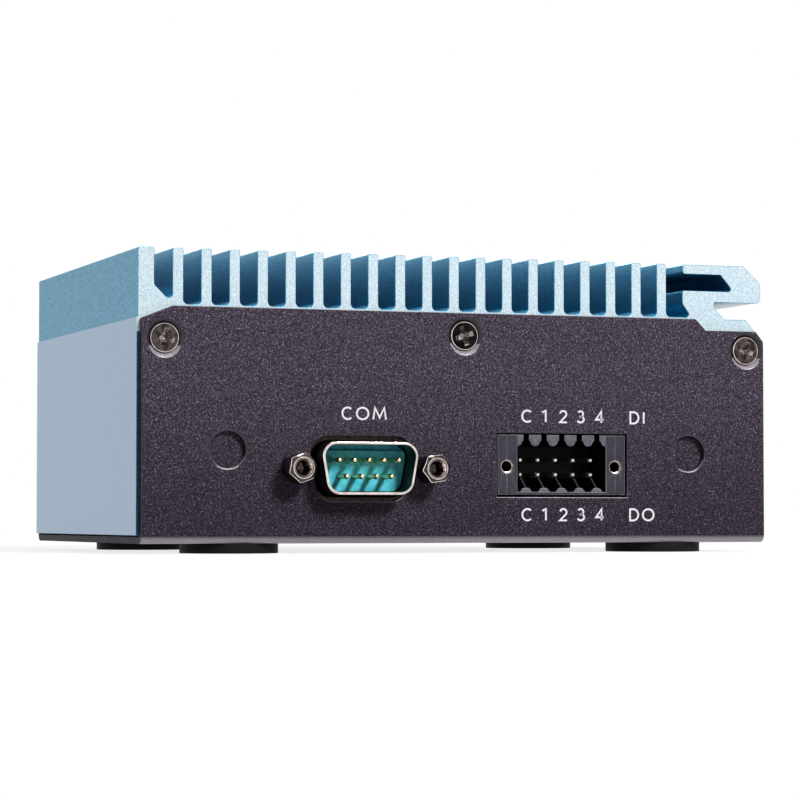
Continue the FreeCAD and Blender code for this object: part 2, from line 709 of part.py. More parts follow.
def pan_screws(places, seat, length, up):
    """Pan-head screws whose heads bear on the plane z = seat, with the thread running up or down."""
    screws = []
    arm, half, _ = SCREW_CROSS
    for x, y in places:
        head = rod(V(x, y, seat), V(0, 0, -up), 2.8, 1.8)
        shank = rod(V(x, y, seat), V(0, 0, up), SCREW_SHANK, length)
        deep = sorted((seat - up * 2, seat - up * 0.8))
        recess = [box((x - a, x + a), (y - b, y + b), deep) for a, b in ((arm, half), (half, arm))]
        screws.append(head.fuse(shank).cut(recess).removeSplitter())
    return screws


def cpu_stack():
    """Processor, thermal pad and the block that carries its heat into the cover."""
    x, y = CPU_PLACE
    long_x, long_y, high = CPU_SIZE
    bottom = MAIN_UNDERSIDE + BOARD
    top = bottom + high
    carrier_top = top - 0.6

    def around(half_x, half_y, z):
        return block(x, half_x, (y - half_y, y + half_y), z)

    carrier = around(long_x / 2, long_y / 2, (bottom, carrier_top))
    die = around(8, 6, (carrier_top, top))
    pad = around(long_x / 2 - 1, long_y / 2 - 1, (top, top + PAD_THICKNESS))
    plate = around(SPREADER_SIZE[0] / 2, SPREADER_SIZE[1] / 2,
                   (top + PAD_THICKNESS, PLATE_UNDERSIDE))
    for a, b in spreader_holes():
        plate = plate.cut(rod(V(a, b, bottom), V(0, 0, 1), SCREW_HOLE, 20))
        plate = plate.cut(rod(V(a, b, bottom), V(0, 0, 1), 3.2, SPREADER_SEAT - bottom))
    return carrier.fuse(die).removeSplitter(), pad, plate


def memory():
    """Laptop-size memory module lying in its socket under the mainboard."""
    top = MAIN_UNDERSIDE
    middle = -4.0
    half = 33.8
    board = (top - 3.65, top - 2.65)
    socket = block(middle, half + 2.7, (44, 50), (top - 4.6, top))
    for side in (-1, 1):
        arm = block(middle + side * (half + 1.6), 1.1, (22, 45), (top - 4.0, top))
        socket = socket.fuse(arm)
    slot = block(middle, half + 0.2, (40, 48.0), (board[0] - 0.05, board[1] + 0.05))
    socket = socket.cut(slot).removeSplitter()
    module = block(middle, half, (18, 47.8), board)
    chips = [block(middle + x, 6.0, (24, 34), (board[0] - 1.1, board[0])) for x in (-25, -9, 9, 25)]
    return socket, module.fuse(chips).removeSplitter()


def storage():
    """Short storage module in its edge socket on the lower board."""
    z = IO_BOARD_TOP
    y = (37, 59)
    board = (z + 2.25, z + 3.05)
    socket = box((-34, -25), y, (z, z + 4.0))
    slot = box((-30, -24), (y[0] - 0.1, y[1] + 0.1), (board[0] - 0.05, board[1] + 0.05))
    stick = box((-30, 12), y, board)
    chips = [box((x, x + 12), (41, 55), (board[1], board[1] + 1.15)) for x in (-20, -4)]
    return socket.cut(slot), stick.fuse(chips).removeSplitter()


def clock_cell():
    """Button cell that keeps the clock, clipped in a round holder on the lower board."""
    x, y, z = 25.0, 48.0, IO_BOARD_TOP
    radius = 10.0
    floor = z + 1.0
    up = V(0, 0, 1)
    holder = rod(V(x, y, z), up, radius + 1.6, 4.6)
    holder = holder.cut(rod(V(x, y, floor), up, radius + 0.1, 5))
    holder = holder.cut(block(x, 4, (y + radius - 2, y + radius + 3), (floor, floor + 5)))
    cell = rod(V(x, y, floor), up, radius, 3.2)
    cell = cell.makeChamfer(0.35, [e for e in cell.Edges if e.Closed])
    return holder.removeSplitter(), cell


def stack_places():
    """Two rows of ten pins at the usual 2.54 mm spacing: (x, y)."""
    return [(x, STACK_START[1] + STACK_PITCH * i)
            for i in range(10) for x in (STACK_START[0], STACK_START[0] + STACK_PITCH)]


def stack():
    """Board-to-board connector: a pin header below and a socket above."""
    rim = 1.6
    x = (STACK_START[0] - rim, STACK_START[0] + STACK_PITCH + rim)
    y = (STACK_START[1] - rim, STACK_START[1] + 9 * STACK_PITCH + rim)
    half = 0.32
    room = half + 0.02
    pin_top = 24.5
    base_top = IO_BOARD_TOP + 2.5
    base = box(x, y, (IO_BOARD_TOP, base_top))
    pins = [box((a - half, a + half), (b - half, b + half), (base_top, pin_top))
            for a, b in stack_places()]
    rooms = [box((a - room, a + room), (b - room, b + room), (15, pin_top + 0.1))
             for a, b in stack_places()]
    socket = box(x, y, (18.5, MAIN_UNDERSIDE)).cut(rooms)
    return base.fuse(pins).removeSplitter(), socket


# Rear connectors -------------------------------------------------------------------------------

def lan_jack(x):
    """Shielded network socket: a stepped mouth with its latch notch below, and two lamp windows."""
    wide, deep, tall = LAN_SIZE
    front = DEPTH + REAR_PROUD
    z = (MAIN_UNDERSIDE - tall, MAIN_UNDERSIDE)
    mouth_x, mouth_z, mouth_deep = LAN_MOUTH
    low = z[0] + 3.1
    latch_deep = 8.0
    jack = block(x, wide / 2, (front - deep, front), z)
    jack = jack.cut(block(x, mouth_x / 2, (front - mouth_deep, front + 1), (low, low + mouth_z)))
    for half, drop in LAN_LATCH_STEPS:
        jack = jack.cut(block(x, half, (front - latch_deep, front + 1), (low - drop, low + 0.1)))
    lamp_x = wide / 2 - 2.1
    for side in (-1, 1):
        lamp = block(x + side * lamp_x, 1.3, (front - 1.0, front + 1), (z[0] + 0.5, z[0] + 2.3))
        jack = jack.cut(lamp)
    return jack


def usb_port():
    """Two stacked type-A sockets: one folded shell and, in each room, an insert with a tongue."""
    wide, deep, tall = USB_SIZE
    room_high, shell_skin = USB_ROOM
    front = DEPTH + 2 * REAR_PROUD
    bottom = MAIN_UNDERSIDE - tall
    room_back = front - deep + shell_skin
    inside = wide / 2 - shell_skin
    shell = block(USB_X, wide / 2, (front - deep, front), (bottom, MAIN_UNDERSIDE))
    inserts = []
    for low in (bottom + 1.1, bottom + 9.3):
        shell = shell.cut(block(USB_X, inside, (room_back, front + 1), (low, low + room_high)))
        back = block(USB_X, inside - 0.02, (room_back, front - 9.5),
                     (low + 0.02, low + room_high - 0.02))
        tongue = block(USB_X, 5.6, (front - 10, front - 0.9), (low + 3.0, low + 4.8))
        inserts.append(back.fuse(tongue).removeSplitter())
    return shell, inserts


def display_mouth(low, inset, corner):
    """Outline of the display socket's mouth: a slot whose two lower corners are cut aslant."""
    half = DISPLAY_SIZE[0] / 2 - 0.45 - inset
    slant_x, slant_z = 1.9, 1.7
    high = low + 4.6 - inset
    return [(DISPLAY_X - half, high, corner), (DISPLAY_X + half, high, corner),
            (DISPLAY_X + half, low + slant_z, corner),
            (DISPLAY_X + half - slant_x, low + inset, corner),
            (DISPLAY_X - half + slant_x, low + inset, corner),
            (DISPLAY_X - half, low + slant_z, corner)]


def display_port():
    """Digital display socket: a shell with two slanted lower corners and a central tongue."""
    wide, deep, tall = DISPLAY_SIZE
    front = DEPTH + REAR_PROUD
    z = (MAIN_UNDERSIDE - tall, MAIN_UNDERSIDE)
    low = z[0] + 0.6
    back = front - deep + 0.4
    shell = block(DISPLAY_X, wide / 2, (front - deep, front), z)
    shell = shell.cut(prism_y(display_mouth(low, 0, 0.3), back, front + 1))
    insert = prism_y(display_mouth(low, 0.03, 0.3), back + 0.02, front - 7.5)
    tongue = block(DISPLAY_X, 5.6, (front - 8, front - 0.8), (low + 2.1, low + 3.0))
    return shell, insert.fuse(tongue).removeSplitter()


def dc_inlet():
    """Three-way supply header with square pins in an open cavity."""
    wide, deep, tall = DC_SIZE
    front = DEPTH + REAR_PROUD
    back = front - deep
    floor = front - 8.5
    z = (IO_BOARD_TOP, IO_BOARD_TOP + tall)
    columns = [DC_X + DC_PITCH * i for i in (-1, 0, 1)]
    housing = block(DC_X, wide / 2, (back, front), z)
    housing = housing.cut(block(DC_X, wide / 2 - 1.0, (floor, front + 1), (z[0] + 1.1, z[1] - 1)))
    housing = housing.cut([block(x, 1.0, (front - 6, front + 1), (z[1] - 1.5, z[1] + 1))
                           for x in columns])
    height = z[0] + tall / 2
    half = DC_PIN / 2
    hole = half + 0.02
    pins = []
    for x in columns:
        housing = housing.cut(block(x, hole, (back - 1, floor + 0.5), (height - hole, height + hole)))
        reach = block(x, half, (back - 1.6, front - 2.2), (height - half, height + half))
        drop = block(x, half, (back - 1.6, back - 1.6 + DC_PIN), (IO_BOARD_TOP, height))
        pins.append(reach.fuse(drop).removeSplitter())
    return housing.removeSplitter(), pins


# Assembly --------------------------------------------------------------------------------------

def pieces():
    """Every node's name with its solid, or with a list of like solids."""
    inner_top = MAIN_UNDERSIDE + BOARD
    cpu, pad, spreader = cpu_stack()
    memory_socket, memory_module = memory()
    ssd_socket, ssd_module = storage()
    holder, cell = clock_cell()
    stack_header, stack_socket = stack()
    usb_shell, usb_insulator = usb_port()
    display_shell, display_insulator = display_port()
    dc_housing, dc_pins = dc_inlet()
    nodes = {
        "heatsink_cover": heatsink_cover(),
        "chassis_tray": chassis_tray(),
        "front_screws": [panel_screw(x, z, 0, 1) for x, z in SCREW_PLACES],
        "rear_screws": [panel_screw(x, z, DEPTH, -1) for x, z in SCREW_PLACES],
        "com_shell": com_shell(),
        "com_insulator": com_insulator(),
        "com_pins": com_pins(),
        "com_bracket": com_bracket(),
        "com_jack_screws": com_jack_screws(),
        "io_header_housing": io_header_housing(),
        "io_header_pins": io_header_pins(),
        "io_header_nuts": io_header_nuts(),
        "io_board": io_board(),
        "io_board_standoffs": clinched_standoffs(),
        "io_board_screws": pan_screws(io_board_holes(), IO_BOARD_TOP, 5.0, -1),
        "mainboard": mainboard(),
        "mainboard_standoffs": standoffs(mainboard_holes(), inner_top, PLATE_UNDERSIDE),
        "mainboard_screws": pan_screws(mainboard_holes(), MAIN_UNDERSIDE, 13.5, 1),
        "cpu_package": cpu,
        "thermal_pad": pad,
        "heat_spreader": spreader,
        "heat_spreader_screws": pan_screws(spreader_holes(), SPREADER_SEAT, 6.0, 1),
        "memory_socket": memory_socket,
        "memory_module": memory_module,
        "ssd_socket": ssd_socket,
        "ssd_module": ssd_module,
        "coin_cell_holder": holder,
        "coin_cell": cell,
        "stack_header": stack_header,
        "stack_socket": stack_socket,
        "usb_shell": usb_shell,
        "usb_insulator": usb_insulator,
        "display_port_shell": display_shell,
        "display_port_insulator": display_insulator,
        "dc_inlet_housing": dc_housing,
        "dc_inlet_pins": dc_pins,
    }
    for i, x in enumerate(LAN_X):
        nodes[f"lan_jack_{i + 1}"] = lan_jack(x)
    for end, y in (("front", FOOT_INSET_Y), ("rear", DEPTH - FOOT_INSET_Y)):
        for side, x in (("left", FOOT_INSET_X - HALF), ("right", HALF - FOOT_INSET_X)):
            nodes[f"foot_{end}_{side}"] = foot(x, y)
    return nodes


def save():
    """Moves every piece onto the shared origin and writes one STEP file per node."""
    os.makedirs("parts", exist_ok=True)
    nodes = pieces()
    shapes = {name: Part.makeCompound(shape) if isinstance(shape, list) else shape
              for name, shape in nodes.items()}
    whole = Part.makeCompound(list(shapes.values())).BoundBox
    shift = V(-whole.Center.x, -whole.Center.y, FOOT_HEIGHT)
    for name, shape in shapes.items():
        shape.translate(shift)
        shape.exportStep(f"parts/{name}.step")
        print(f"{name}: {len(shape.Solids)} solids, {shape.Volume / 1000:.2f} cm3")
    print(f"origin moved by {shift.x:.3f}, {shift.y:.3f}, {shift.z:.3f}")


save()
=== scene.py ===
# %% [markdown]
# # A fanless industrial PC
# The object is a blasted, blue-grey anodised aluminium cover with fins, closed from below by a
# folded steel tray in charcoal powder coat. The construction is already packed as a frame of
# nodes; this file gives every visible surface its finish and remakes the pieces whose small
# forms carry the look: fins, punched edges, screws, threads, contacts and print.

# %% The frame
import json
import math

import bmesh
import bpy
from mathutils import Matrix, Vector


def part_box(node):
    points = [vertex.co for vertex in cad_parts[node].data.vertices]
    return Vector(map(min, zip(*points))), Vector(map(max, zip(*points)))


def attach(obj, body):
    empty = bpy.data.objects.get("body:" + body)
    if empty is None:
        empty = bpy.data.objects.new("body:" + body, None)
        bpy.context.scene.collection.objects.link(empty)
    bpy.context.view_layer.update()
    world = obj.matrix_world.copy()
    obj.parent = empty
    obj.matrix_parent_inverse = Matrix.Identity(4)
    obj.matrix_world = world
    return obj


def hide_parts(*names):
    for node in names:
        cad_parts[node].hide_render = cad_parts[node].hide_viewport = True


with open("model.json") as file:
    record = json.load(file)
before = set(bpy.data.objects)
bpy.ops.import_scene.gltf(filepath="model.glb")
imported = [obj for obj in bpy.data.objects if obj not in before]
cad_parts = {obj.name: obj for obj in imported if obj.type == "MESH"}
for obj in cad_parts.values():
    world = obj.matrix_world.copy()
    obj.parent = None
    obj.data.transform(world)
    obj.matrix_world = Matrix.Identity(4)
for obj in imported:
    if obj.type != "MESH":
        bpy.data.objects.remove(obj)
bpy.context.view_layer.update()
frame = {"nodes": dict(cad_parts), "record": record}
MM = 0.001
print("nodes:", len(frame["nodes"]))

# %% [markdown]
# ## Small tools
# Colours are picked as sRGB hex values, but shaders work in linear light, so one function turns
# them. One adds a node to a shader or geometry tree with its settings and links, which keeps
# each tree a short list of what it is made of. One puts a camera, lamp or mesh into the scene.

# %% Colour, node and object helpers
def linear(code):
    """sRGB hex to a linear RGBA colour."""
    channels = [int(code[i:i + 2], 16) / 255 for i in (1, 3, 5)]
    return (*[c / 12.92 if c <= 0.04045 else ((c + 0.055) / 1.055) ** 2.4 for c in channels], 1.0)


def add(tree, kind, settings=None, **inputs):
    """New node; an input takes a value, an output to link, or a node for its first live output."""
    node = tree.nodes.new(kind)
    for name, value in (settings or {}).items():
        setattr(node, name, value)
    for name, value in inputs.items():
        key = int(name[1:]) if name[0] == "i" and name[1:].isdigit() else name.replace("_", " ")
        socket = node.inputs[key]
        for item in value if isinstance(value, list) else [value]:
            if isinstance(item, bpy.types.Node):
                item = next(output for output in item.outputs if output.enabled)
            if isinstance(item, bpy.types.NodeSocket):
                tree.links.new(item, socket)
            else:
                socket.default_value = item
    return node


def shown(name, data):
    """Puts a mesh, camera or lamp into the scene as an object at the origin."""
    piece = bpy.data.objects.new(name, data)
    bpy.context.scene.collection.objects.link(piece)
    return piece


print("helpers ready")

# %% [markdown]
# ## Camera
# The camera stands just above the table top, to the left of the front, and looks very slightly
# up. Its long lens keeps the fins nearly parallel.

# %% Camera
CAMERA_PLACE = Vector((-185.87, -515.53, 6.476)) * MM
CAMERA_YAW = math.radians(-19.949)
CAMERA_PITCH = math.radians(90 + 2.353)
LENS = 127.88

camera = shown("camera", bpy.data.cameras.new("camera"))
camera.data.sensor_width = 36.0
camera.data.lens = LENS
camera.data.clip_start = 0.01
camera.data.clip_end = 20.0
camera.location = CAMERA_PLACE
camera.rotation_euler = (CAMERA_PITCH, 0, CAMERA_YAW)
bpy.context.scene.camera = camera
bpy.context.scene.view_settings.view_transform = "Standard"
print("camera at", [round(v, 3) for v in camera.location])

# %% [markdown]
# ## Stage and light
# A product shot on white: the floor and the world look white to the camera and in mirrors and
# glass, while the object itself is lit by soft lamps at a plain level. The key lamp stands high
# to the front right and throws the small shadows beside the connector. A weak one overhead draws
# the upper lips and edges, a faint one opens the left side, and one behind lights the back. The
# floor keeps a faint shadow.

# %% Floor and world
def seen_rays(tree):
    """One where a ray from the camera, a mirror or glass looks, zero for light that bounces."""
    path = add(tree, "ShaderNodeLightPath")
    seen = path.outputs["Is Camera Ray"]
    for kind in ("Is Glossy Ray", "Is Transmission Ray"):
        seen = add(tree, "ShaderNodeMath", {"operation": "MAXIMUM"}, i0=seen,
                   i1=path.outputs[kind])
    return seen


def white_floor():
    """Pale floor: mostly plain white to the eye, wholly so far off, shaded near the object."""
    material = bpy.data.materials.new("white sweep")
    material.use_nodes = True
    tree = material.node_tree
    tree.nodes.clear()
    where = add(tree, "ShaderNodeTexCoord")
    far = add(tree, "ShaderNodeVectorMath", {"operation": "LENGTH"}, i0=where.outputs["Object"])
    plain = add(tree, "ShaderNodeMapRange", Value=far, From_Min=0.12, From_Max=0.6, To_Min=0.8,
                To_Max=1.0)
    part = add(tree, "ShaderNodeMath", {"operation": "MULTIPLY"}, i0=seen_rays(tree), i1=plain)
    tone = add(tree, "ShaderNodeMix", {"data_type": "RGBA"}, i0=seen_rays(tree),
               i6=linear("#b4b4b5"), i7=linear("#ffffff"))
    shaded = add(tree, "ShaderNodeBsdfDiffuse", Color=tone)
    white = add(tree, "ShaderNodeEmission", Color=(1, 1, 1, 1), Strength=1.0)
    mix = add(tree, "ShaderNodeMixShader", i0=part, i1=shaded, i2=white)
    add(tree, "ShaderNodeOutputMaterial", Surface=mix)
    return material


def studio_world():
    """White to the eye and a dim soft fill for everything else."""
    world = bpy.data.worlds.new("studio")
    world.use_nodes = True
    tree = world.node_tree
    tree.nodes.clear()
    fill = add(tree, "ShaderNodeBackground", Color=linear("#f2f5f8"), Strength=0.03)
    white = add(tree, "ShaderNodeBackground", Color=(1, 1, 1, 1), Strength=1.0)
    mix = add(tree, "ShaderNodeMixShader", i0=seen_rays(tree), i1=fill, i2=white)
    add(tree, "ShaderNodeOutputWorld", Surface=mix)
    bpy.context.scene.world = world


FLOOR_HALF = 6.0
floor_mesh = bpy.data.meshes.new("floor")
floor_mesh.from_pydata([(a * FLOOR_HALF, b * FLOOR_HALF, 0)
                        for a, b in ((-1, -1), (1, -1), (1, 1), (-1, 1))], [], [(0, 1, 2, 3)])
floor = shown("floor", floor_mesh)
floor.data.materials.append(white_floor())
studio_world()
print("floor and world ready")

# %% Lamps
def lamp(name, towards, distance, size, watts):
    """Square soft lamp in a direction from the object's middle, turned to it."""
    data = bpy.data.lights.new(name, "AREA")
    data.size = size
    data.energy = watts
    light = shown(name, data)
    middle = Vector((0, 0, 0.03))
    light.location = middle + Vector(towards).normalized() * distance
    light.rotation_euler = (middle - light.location).to_track_quat("-Z", "Y").to_euler()


lamp("key", (0.31, -0.745, 0.59), 2.2, 0.46, 50.0)
lamp("overhead", (-0.05, -0.12, 1.0), 0.7, 0.16, 1.5)
lamp("left", (-0.93, -0.25, 0.25), 1.1, 0.6, 0.4)
lamp("rear", (0.25, 0.85, 0.45), 1.1, 0.5, 6.0)

# %% [markdown]
# ## Finishes
# Each finish is one Principled shader with a few nodes for its grain. Patterns read Object
# coordinates turned to millimetres, so a grain width of 0.2 means 0.2 mm on the real thing.
# Some real grains are too fine to show; the text says where one is drawn coarser.

# %% Shared parts of a finish
def finish_of(name, code, metallic, rough, **more):
    """New material with one Principled shader whose plain sockets are set directly."""
    material = bpy.data.materials.new(name)
    material.use_nodes = True
    tree = material.node_tree
    tree.nodes.clear()
    surface = add(tree, "ShaderNodeBsdfPrincipled", Base_Color=linear(code), Metallic=metallic,
                  Roughness=rough, **more)
    add(tree, "ShaderNodeOutputMaterial", Surface=surface)
    return material, tree, surface


def place(tree, *grain):
    """Object coordinates in units of a grain size in millimetres, one or three numbers."""
    where = add(tree, "ShaderNodeTexCoord")
    scale = tuple(1 / (MM * size) for size in (grain * 3)[:3])
    return add(tree, "ShaderNodeMapping", Vector=where.outputs["Object"], Scale=scale)


def noise(tree, *grain, **more):
    """Noise whose grain has a size in millimetres, one or three numbers."""
    return add(tree, "ShaderNodeTexNoise", Vector=place(tree, *grain), Scale=1.0, **more)


def tinted(tree, surface, factor, stops):
    """Colours along a factor, each stop a (position, hex) pair, feed the surface's colour."""
    ramp = add(tree, "ShaderNodeValToRGB", Fac=factor)
    band = ramp.color_ramp
    while len(band.elements) < len(stops):
        band.elements.new(0.5)
    for element, (position, code) in zip(band.elements, stops):
        element.position = position
        element.color = linear(code)
    tree.links.new(ramp.outputs[0], surface.inputs["Base Color"])
    return ramp


def relief(tree, surface, height, depth):
    """Bumps of a depth in millimetres along a factor."""
    bump = add(tree, "ShaderNodeBump", Height=height, Distance=depth * MM)
    tree.links.new(bump.outputs[0], surface.inputs["Normal"])


print("finish helpers ready")

# %% [markdown]
# The cover is aluminium, extruded, blasted with beads and anodised light blue. It is a metal,
# so deep between the fins its own colour multiplies from wall to wall and turns navy. The dents
# of the beads are nearer 0.1 mm on the real one and are drawn 0.2 mm wide, so that they show.
# The sawn ends are blasted too and are drawn far paler, both for their open grain and with painted
# light, and the land on each side is milled smooth after blasting, with faint lengthwise scratches.

# %% Anodised aluminium
DENT = 0.2


def blasted(name, dark, middle, light, metallic, rough):
    """Bead-blasted, anodised metal: soft and grainy, each dent a tiny dull mirror."""
    material, tree, surface = finish_of(name, middle, metallic, rough)
    grain = noise(tree, DENT, Detail=2.0)
    tinted(tree, surface, grain, [(0.3, dark), (0.5, middle), (0.72, light)])
    relief(tree, surface, grain, 0.03)
    return material


def deepening(material, low, high, code):
    """Multiplies a finish by a colour at one height in millimetres, fading out to another."""
    tree = material.node_tree
    surface = next(n for n in tree.nodes if n.type == "BSDF_PRINCIPLED")
    where = add(tree, "ShaderNodeSeparateXYZ", Vector=place(tree, 1.0))
    level = add(tree, "ShaderNodeMapRange", {"interpolation_type": "SMOOTHSTEP"},
                Value=where.outputs["Z"], From_Min=low, From_Max=high)
    shade = add(tree, "ShaderNodeMix", {"data_type": "RGBA"}, i0=level, i6=linear(code),
                i7=(1, 1, 1, 1))
    base = surface.inputs["Base Color"].links[0].from_socket
    both = add(tree, "ShaderNodeMix", {"data_type": "RGBA", "blend_type": "MULTIPLY"}, i0=1.0,
               i6=base, i7=shade)
    tree.links.new(both.outputs[2], surface.inputs["Base Color"])


def milled_land(name):
    """Milled, anodised flat: satin, with faint scratches along the extrusion."""
    material, tree, surface = finish_of(name, "#8fa5bb", 1.0, 0.38)
    streak = noise(tree, 1.0, 5.0, 0.28, Detail=4.0, Roughness=0.6)
    tinted(tree, surface, streak, [(0.24, "#788fa6"), (0.34, "#8fa5bb"), (0.68, "#93a9be"),
                                   (0.8, "#a0b3c5")])
    relief(tree, surface, streak, 0.003)
    return material


print("anodising helpers ready")

# %% The cover's colours
# Soft, grainy blue on the outside of the profile.
anodised = blasted("blasted anodised aluminium", "#3a7592", "#4988a6", "#7ebad5", 1.0, 0.45)
# Painted shade at the foot of a fin, where light has bounced off blue walls: the flank turns a
# deeper teal down there.
anodised_fin = blasted("blasted anodised fin flank", "#3a7e9c", "#4991b0", "#7ec2de", 1.0, 0.45)
deepening(anodised_fin, 42.5, 51.0, "#08f2fc")
# Nearly white frost on the open grain of the saw cut, made paler still with painted light.
sawn_end_and_painted_light = blasted("sawn and blasted anodised end", "#9fb1ba", "#b2c4cd", "#d5e5ec", 0.4,
                       0.6)
# A painted reflection of the table on the underside of the hook rail, and a painted shadow on the
# thin skirt ends beside the panels.
rail_lip_reflection = blasted("anodised lip over the table", "#b5bcc6", "#c8ced8", "#e0e6ee", 1.0, 0.4)
skirt_end_shadow = blasted("anodised skirt end", "#06202b", "#0f3f50", "#2c6d80", 0.8, 0.5)
# A calm satin band, greyer and smoother than the blasted wall above it.
anodised_land = milled_land("milled anodised land")
COVER_FINISHES = (anodised, sawn_end_and_painted_light, anodised_land, anodised_fin, rail_lip_reflection,
                  skirt_end_shadow)
print("cover finishes:", [finish.name for finish in COVER_FINISHES])

# %% [markdown]
# The tray is cold-rolled steel with a charcoal powder coat. Its colour is a dark lilac grey with
# metallic flakes, and its gloss is low. Real flakes are some hundredths of a millimetre across;
# they are drawn at 0.13 mm, so that they show as a fine sparkle. The flakes thin out where the coat
# runs thin: over rolled rims, on the lower lips of punched forms and over the bend below the front
# panel, where it looks smooth. Light is painted there too: painted shade darkens rims and the walls
# of openings, the lower lips carry painted highlights, and the bend a pale painted reflection of
# the table.

# %% Powder coat
FLAKE, CLOUD, PEEL = 0.13, 0.3, 0.35


def powder_coat():
    """Charcoal powder coat: fine orange peel with flakes that catch the light."""
    material, tree, surface = finish_of("charcoal powder coat", "#463f49", 0.0, 0.5,
                                        Specular_IOR_Level=0.07)
    flake = add(tree, "ShaderNodeTexVoronoi", Vector=place(tree, FLAKE), Scale=1.0)
    grain = noise(tree, CLOUD, Detail=2.0, Roughness=0.7)
    level = add(tree, "ShaderNodeMix", Factor=0.3, i2=grain, i3=flake.outputs["Color"])
    tinted(tree, surface, level,
           [(0.31, "#0a070c"), (0.44, "#2e2831"), (0.56, "#483f4c"), (0.67, "#776b81"),
            (0.75, "#bdb2c7")])
    relief(tree, surface, noise(tree, PEEL, Detail=2.0), 0.02)
    return material


def thin_coat(name, dark, middle, light):
    """The same coat drawn thin and glossy where the sheet is rolled, coned or bent."""
    material, tree, surface = finish_of(name, middle, 0.0, 0.3, Specular_IOR_Level=0.42)
    flake = noise(tree, CLOUD, Detail=2.0)
    tinted(tree, surface, flake, [(0.3, dark), (0.55, middle), (0.8, light)])
    relief(tree, surface, flake, 0.01)
    return material


# Painted shade: the coat is darkened a little towards the table, which keeps the lower panel calm.
coat = powder_coat()
deepening(coat, 2.0, 36.0, "#c4c0c6")
# A glossy line round every opening, painted dark as shade in rims, cones and walls.
edge_coat_shade = thin_coat("powder coat over edges", "#1d1920", "#2d2830", "#47414a")
# A painted reflection of the table: a pale band along the lowest fold, which fades upwards into the
# dark panel.
bend_coat_reflection = thin_coat("powder coat over the lower bend", "#b3acb4", "#c9c2ca", "#ddd7de")
deepening(bend_coat_reflection, 3.2, 1.8, "#37323a")
# Painted highlights: grey crescents on the lower lips under the screws.
lip_coat_highlight = thin_coat("powder coat on the lower lips", "#7d767e", "#958e96", "#b3acb4")
TRAY_FINISHES = (coat, edge_coat_shade, bend_coat_reflection, lip_coat_highlight)
print("tray finishes:", [finish.name for finish in TRAY_FINISHES])

# %% [markdown]
# Screws are steel with nickel plate; their heads are painted dark and warm as a reflection of dark
# surroundings, with painted highlights on their rims and in their recess, and the middle screw in
# front is painted darker still. Connector shells and jacks are nickel with a warm cast: painted
# highlights on turned edges, painted shade on flanges and in bores, and a painted dark reflection
# on the walls between. Contacts are gold or tin plate. All are metals, so their look lies in the
# roughness and in slight stains that shift the colour. The scuffs are drawn 0.15 to 0.3 mm wide,
# which is coarser than real ones, to break the gloss visibly.

# %% Plated metals
def plated(name, dark, light, rough, stain, scuff):
    """Plated metal: stains some millimetres wide tint it, fine scuffs break its gloss."""
    material, tree, surface = finish_of(name, light, 1.0, rough)
    tinted(tree, surface, noise(tree, stain, Detail=3.0), [(0.35, dark), (0.62, light)])
    relief(tree, surface, noise(tree, scuff, Detail=2.0), 0.006)
    return material


# Heads painted dark and warm as a reflection, with a painted highlight in the cross; the middle one
# is painted nearly black.
head_dark_reflection = plated("black nickel on screw steel", "#2c2624", "#584e4b", 0.32, 1.2, 0.15)
recess_highlight = plated("nickel rubbed bright in the recess", "#6a615e", "#b9afab", 0.26, 0.4, 0.15)
darker_middle_head = plated("black oxide on the middle screw", "#0b0a0b", "#1d1b1e", 0.3, 1.2, 0.15)
# Painted highlights on edges, a painted brown-grey reflection on the drawn wall between them, and
# painted shade on the flange and in bores.
bright_nickel = plated("bright nickel plate", "#c9bcb6", "#efe6e2", 0.16, 1.2, 0.25)
nickel_dark_reflection = plated("nickel plated drawn shell", "#2b2422", "#5a4f4a", 0.22, 0.6, 0.2)
nickel_painted_shade = plated("dull nickel on flange and bore", "#171312", "#362e2b", 0.26, 0.6, 0.2)
# Warm and cool points of light on the contacts, and a plain pale metal inside.
gold = plated("gold plate", "#c9a46a", "#f6dfb0", 0.2, 0.8, 0.2)
tin = plated("tin plate", "#b3b1ac", "#dedcd6", 0.25, 2.5, 0.3)
milled_metal = plated("milled aluminium", "#b0b1b3", "#d2d3d5", 0.35, 3.0, 0.3)
print("plated metals ready")

# %% [markdown]
# The plastics: teal polyester in the serial connector, with a slight gloss; black glass-filled
# polyamide in the header, drawn paler grey on its front faces and keys, with painted highlights on
# its edges and rib crests and painted shade that makes its cavity near-black; dull black rubber
# feet; and small parts of the boards behind the rear sockets. Their mottling is wider than the real
# skin of a mould, so that the surfaces don't look painted in one flat colour.

# %% Plastics, rubber and boards
def moulded(name, dark, light, rough, grain, depth, level=0.4):
    """Moulded material: slight mottling of the colour and a fine skin."""
    material, tree, surface = finish_of(name, light, 0.0, rough, Specular_IOR_Level=level)
    mottle = noise(tree, grain, Detail=3.0)
    tinted(tree, surface, mottle, [(0.35, dark), (0.65, light)])
    relief(tree, surface, mottle, depth)
    return material


# A clear cyan that stays bright deep in the shell.
teal = moulded("teal polyester", "#44c2d2", "#6cdcea", 0.35, 1.2, 0.004, 0.06)
# Black plastic, painted near-black as shade in the header's cavity; paler greys on faces and keys,
# and painted highlights on edges and rib crests.
polyamide = moulded("black glass-filled polyamide", "#050506", "#0a0a0c", 0.4, 0.5, 0.01, 0.07)
polyamide_face = moulded("rubbed polyamide face", "#2a2630", "#3a3641", 0.42, 0.45, 0.006, 0.25)
paler_keys_and_crest_highlight = moulded("rubbed polyamide keys", "#4d4953", "#6d6974", 0.42, 0.3, 0.006, 0.25)
polyamide_edge_highlight = moulded("burnished polyamide edges", "#6b6772", "#928e99", 0.4, 0.4, 0.004, 0.3)
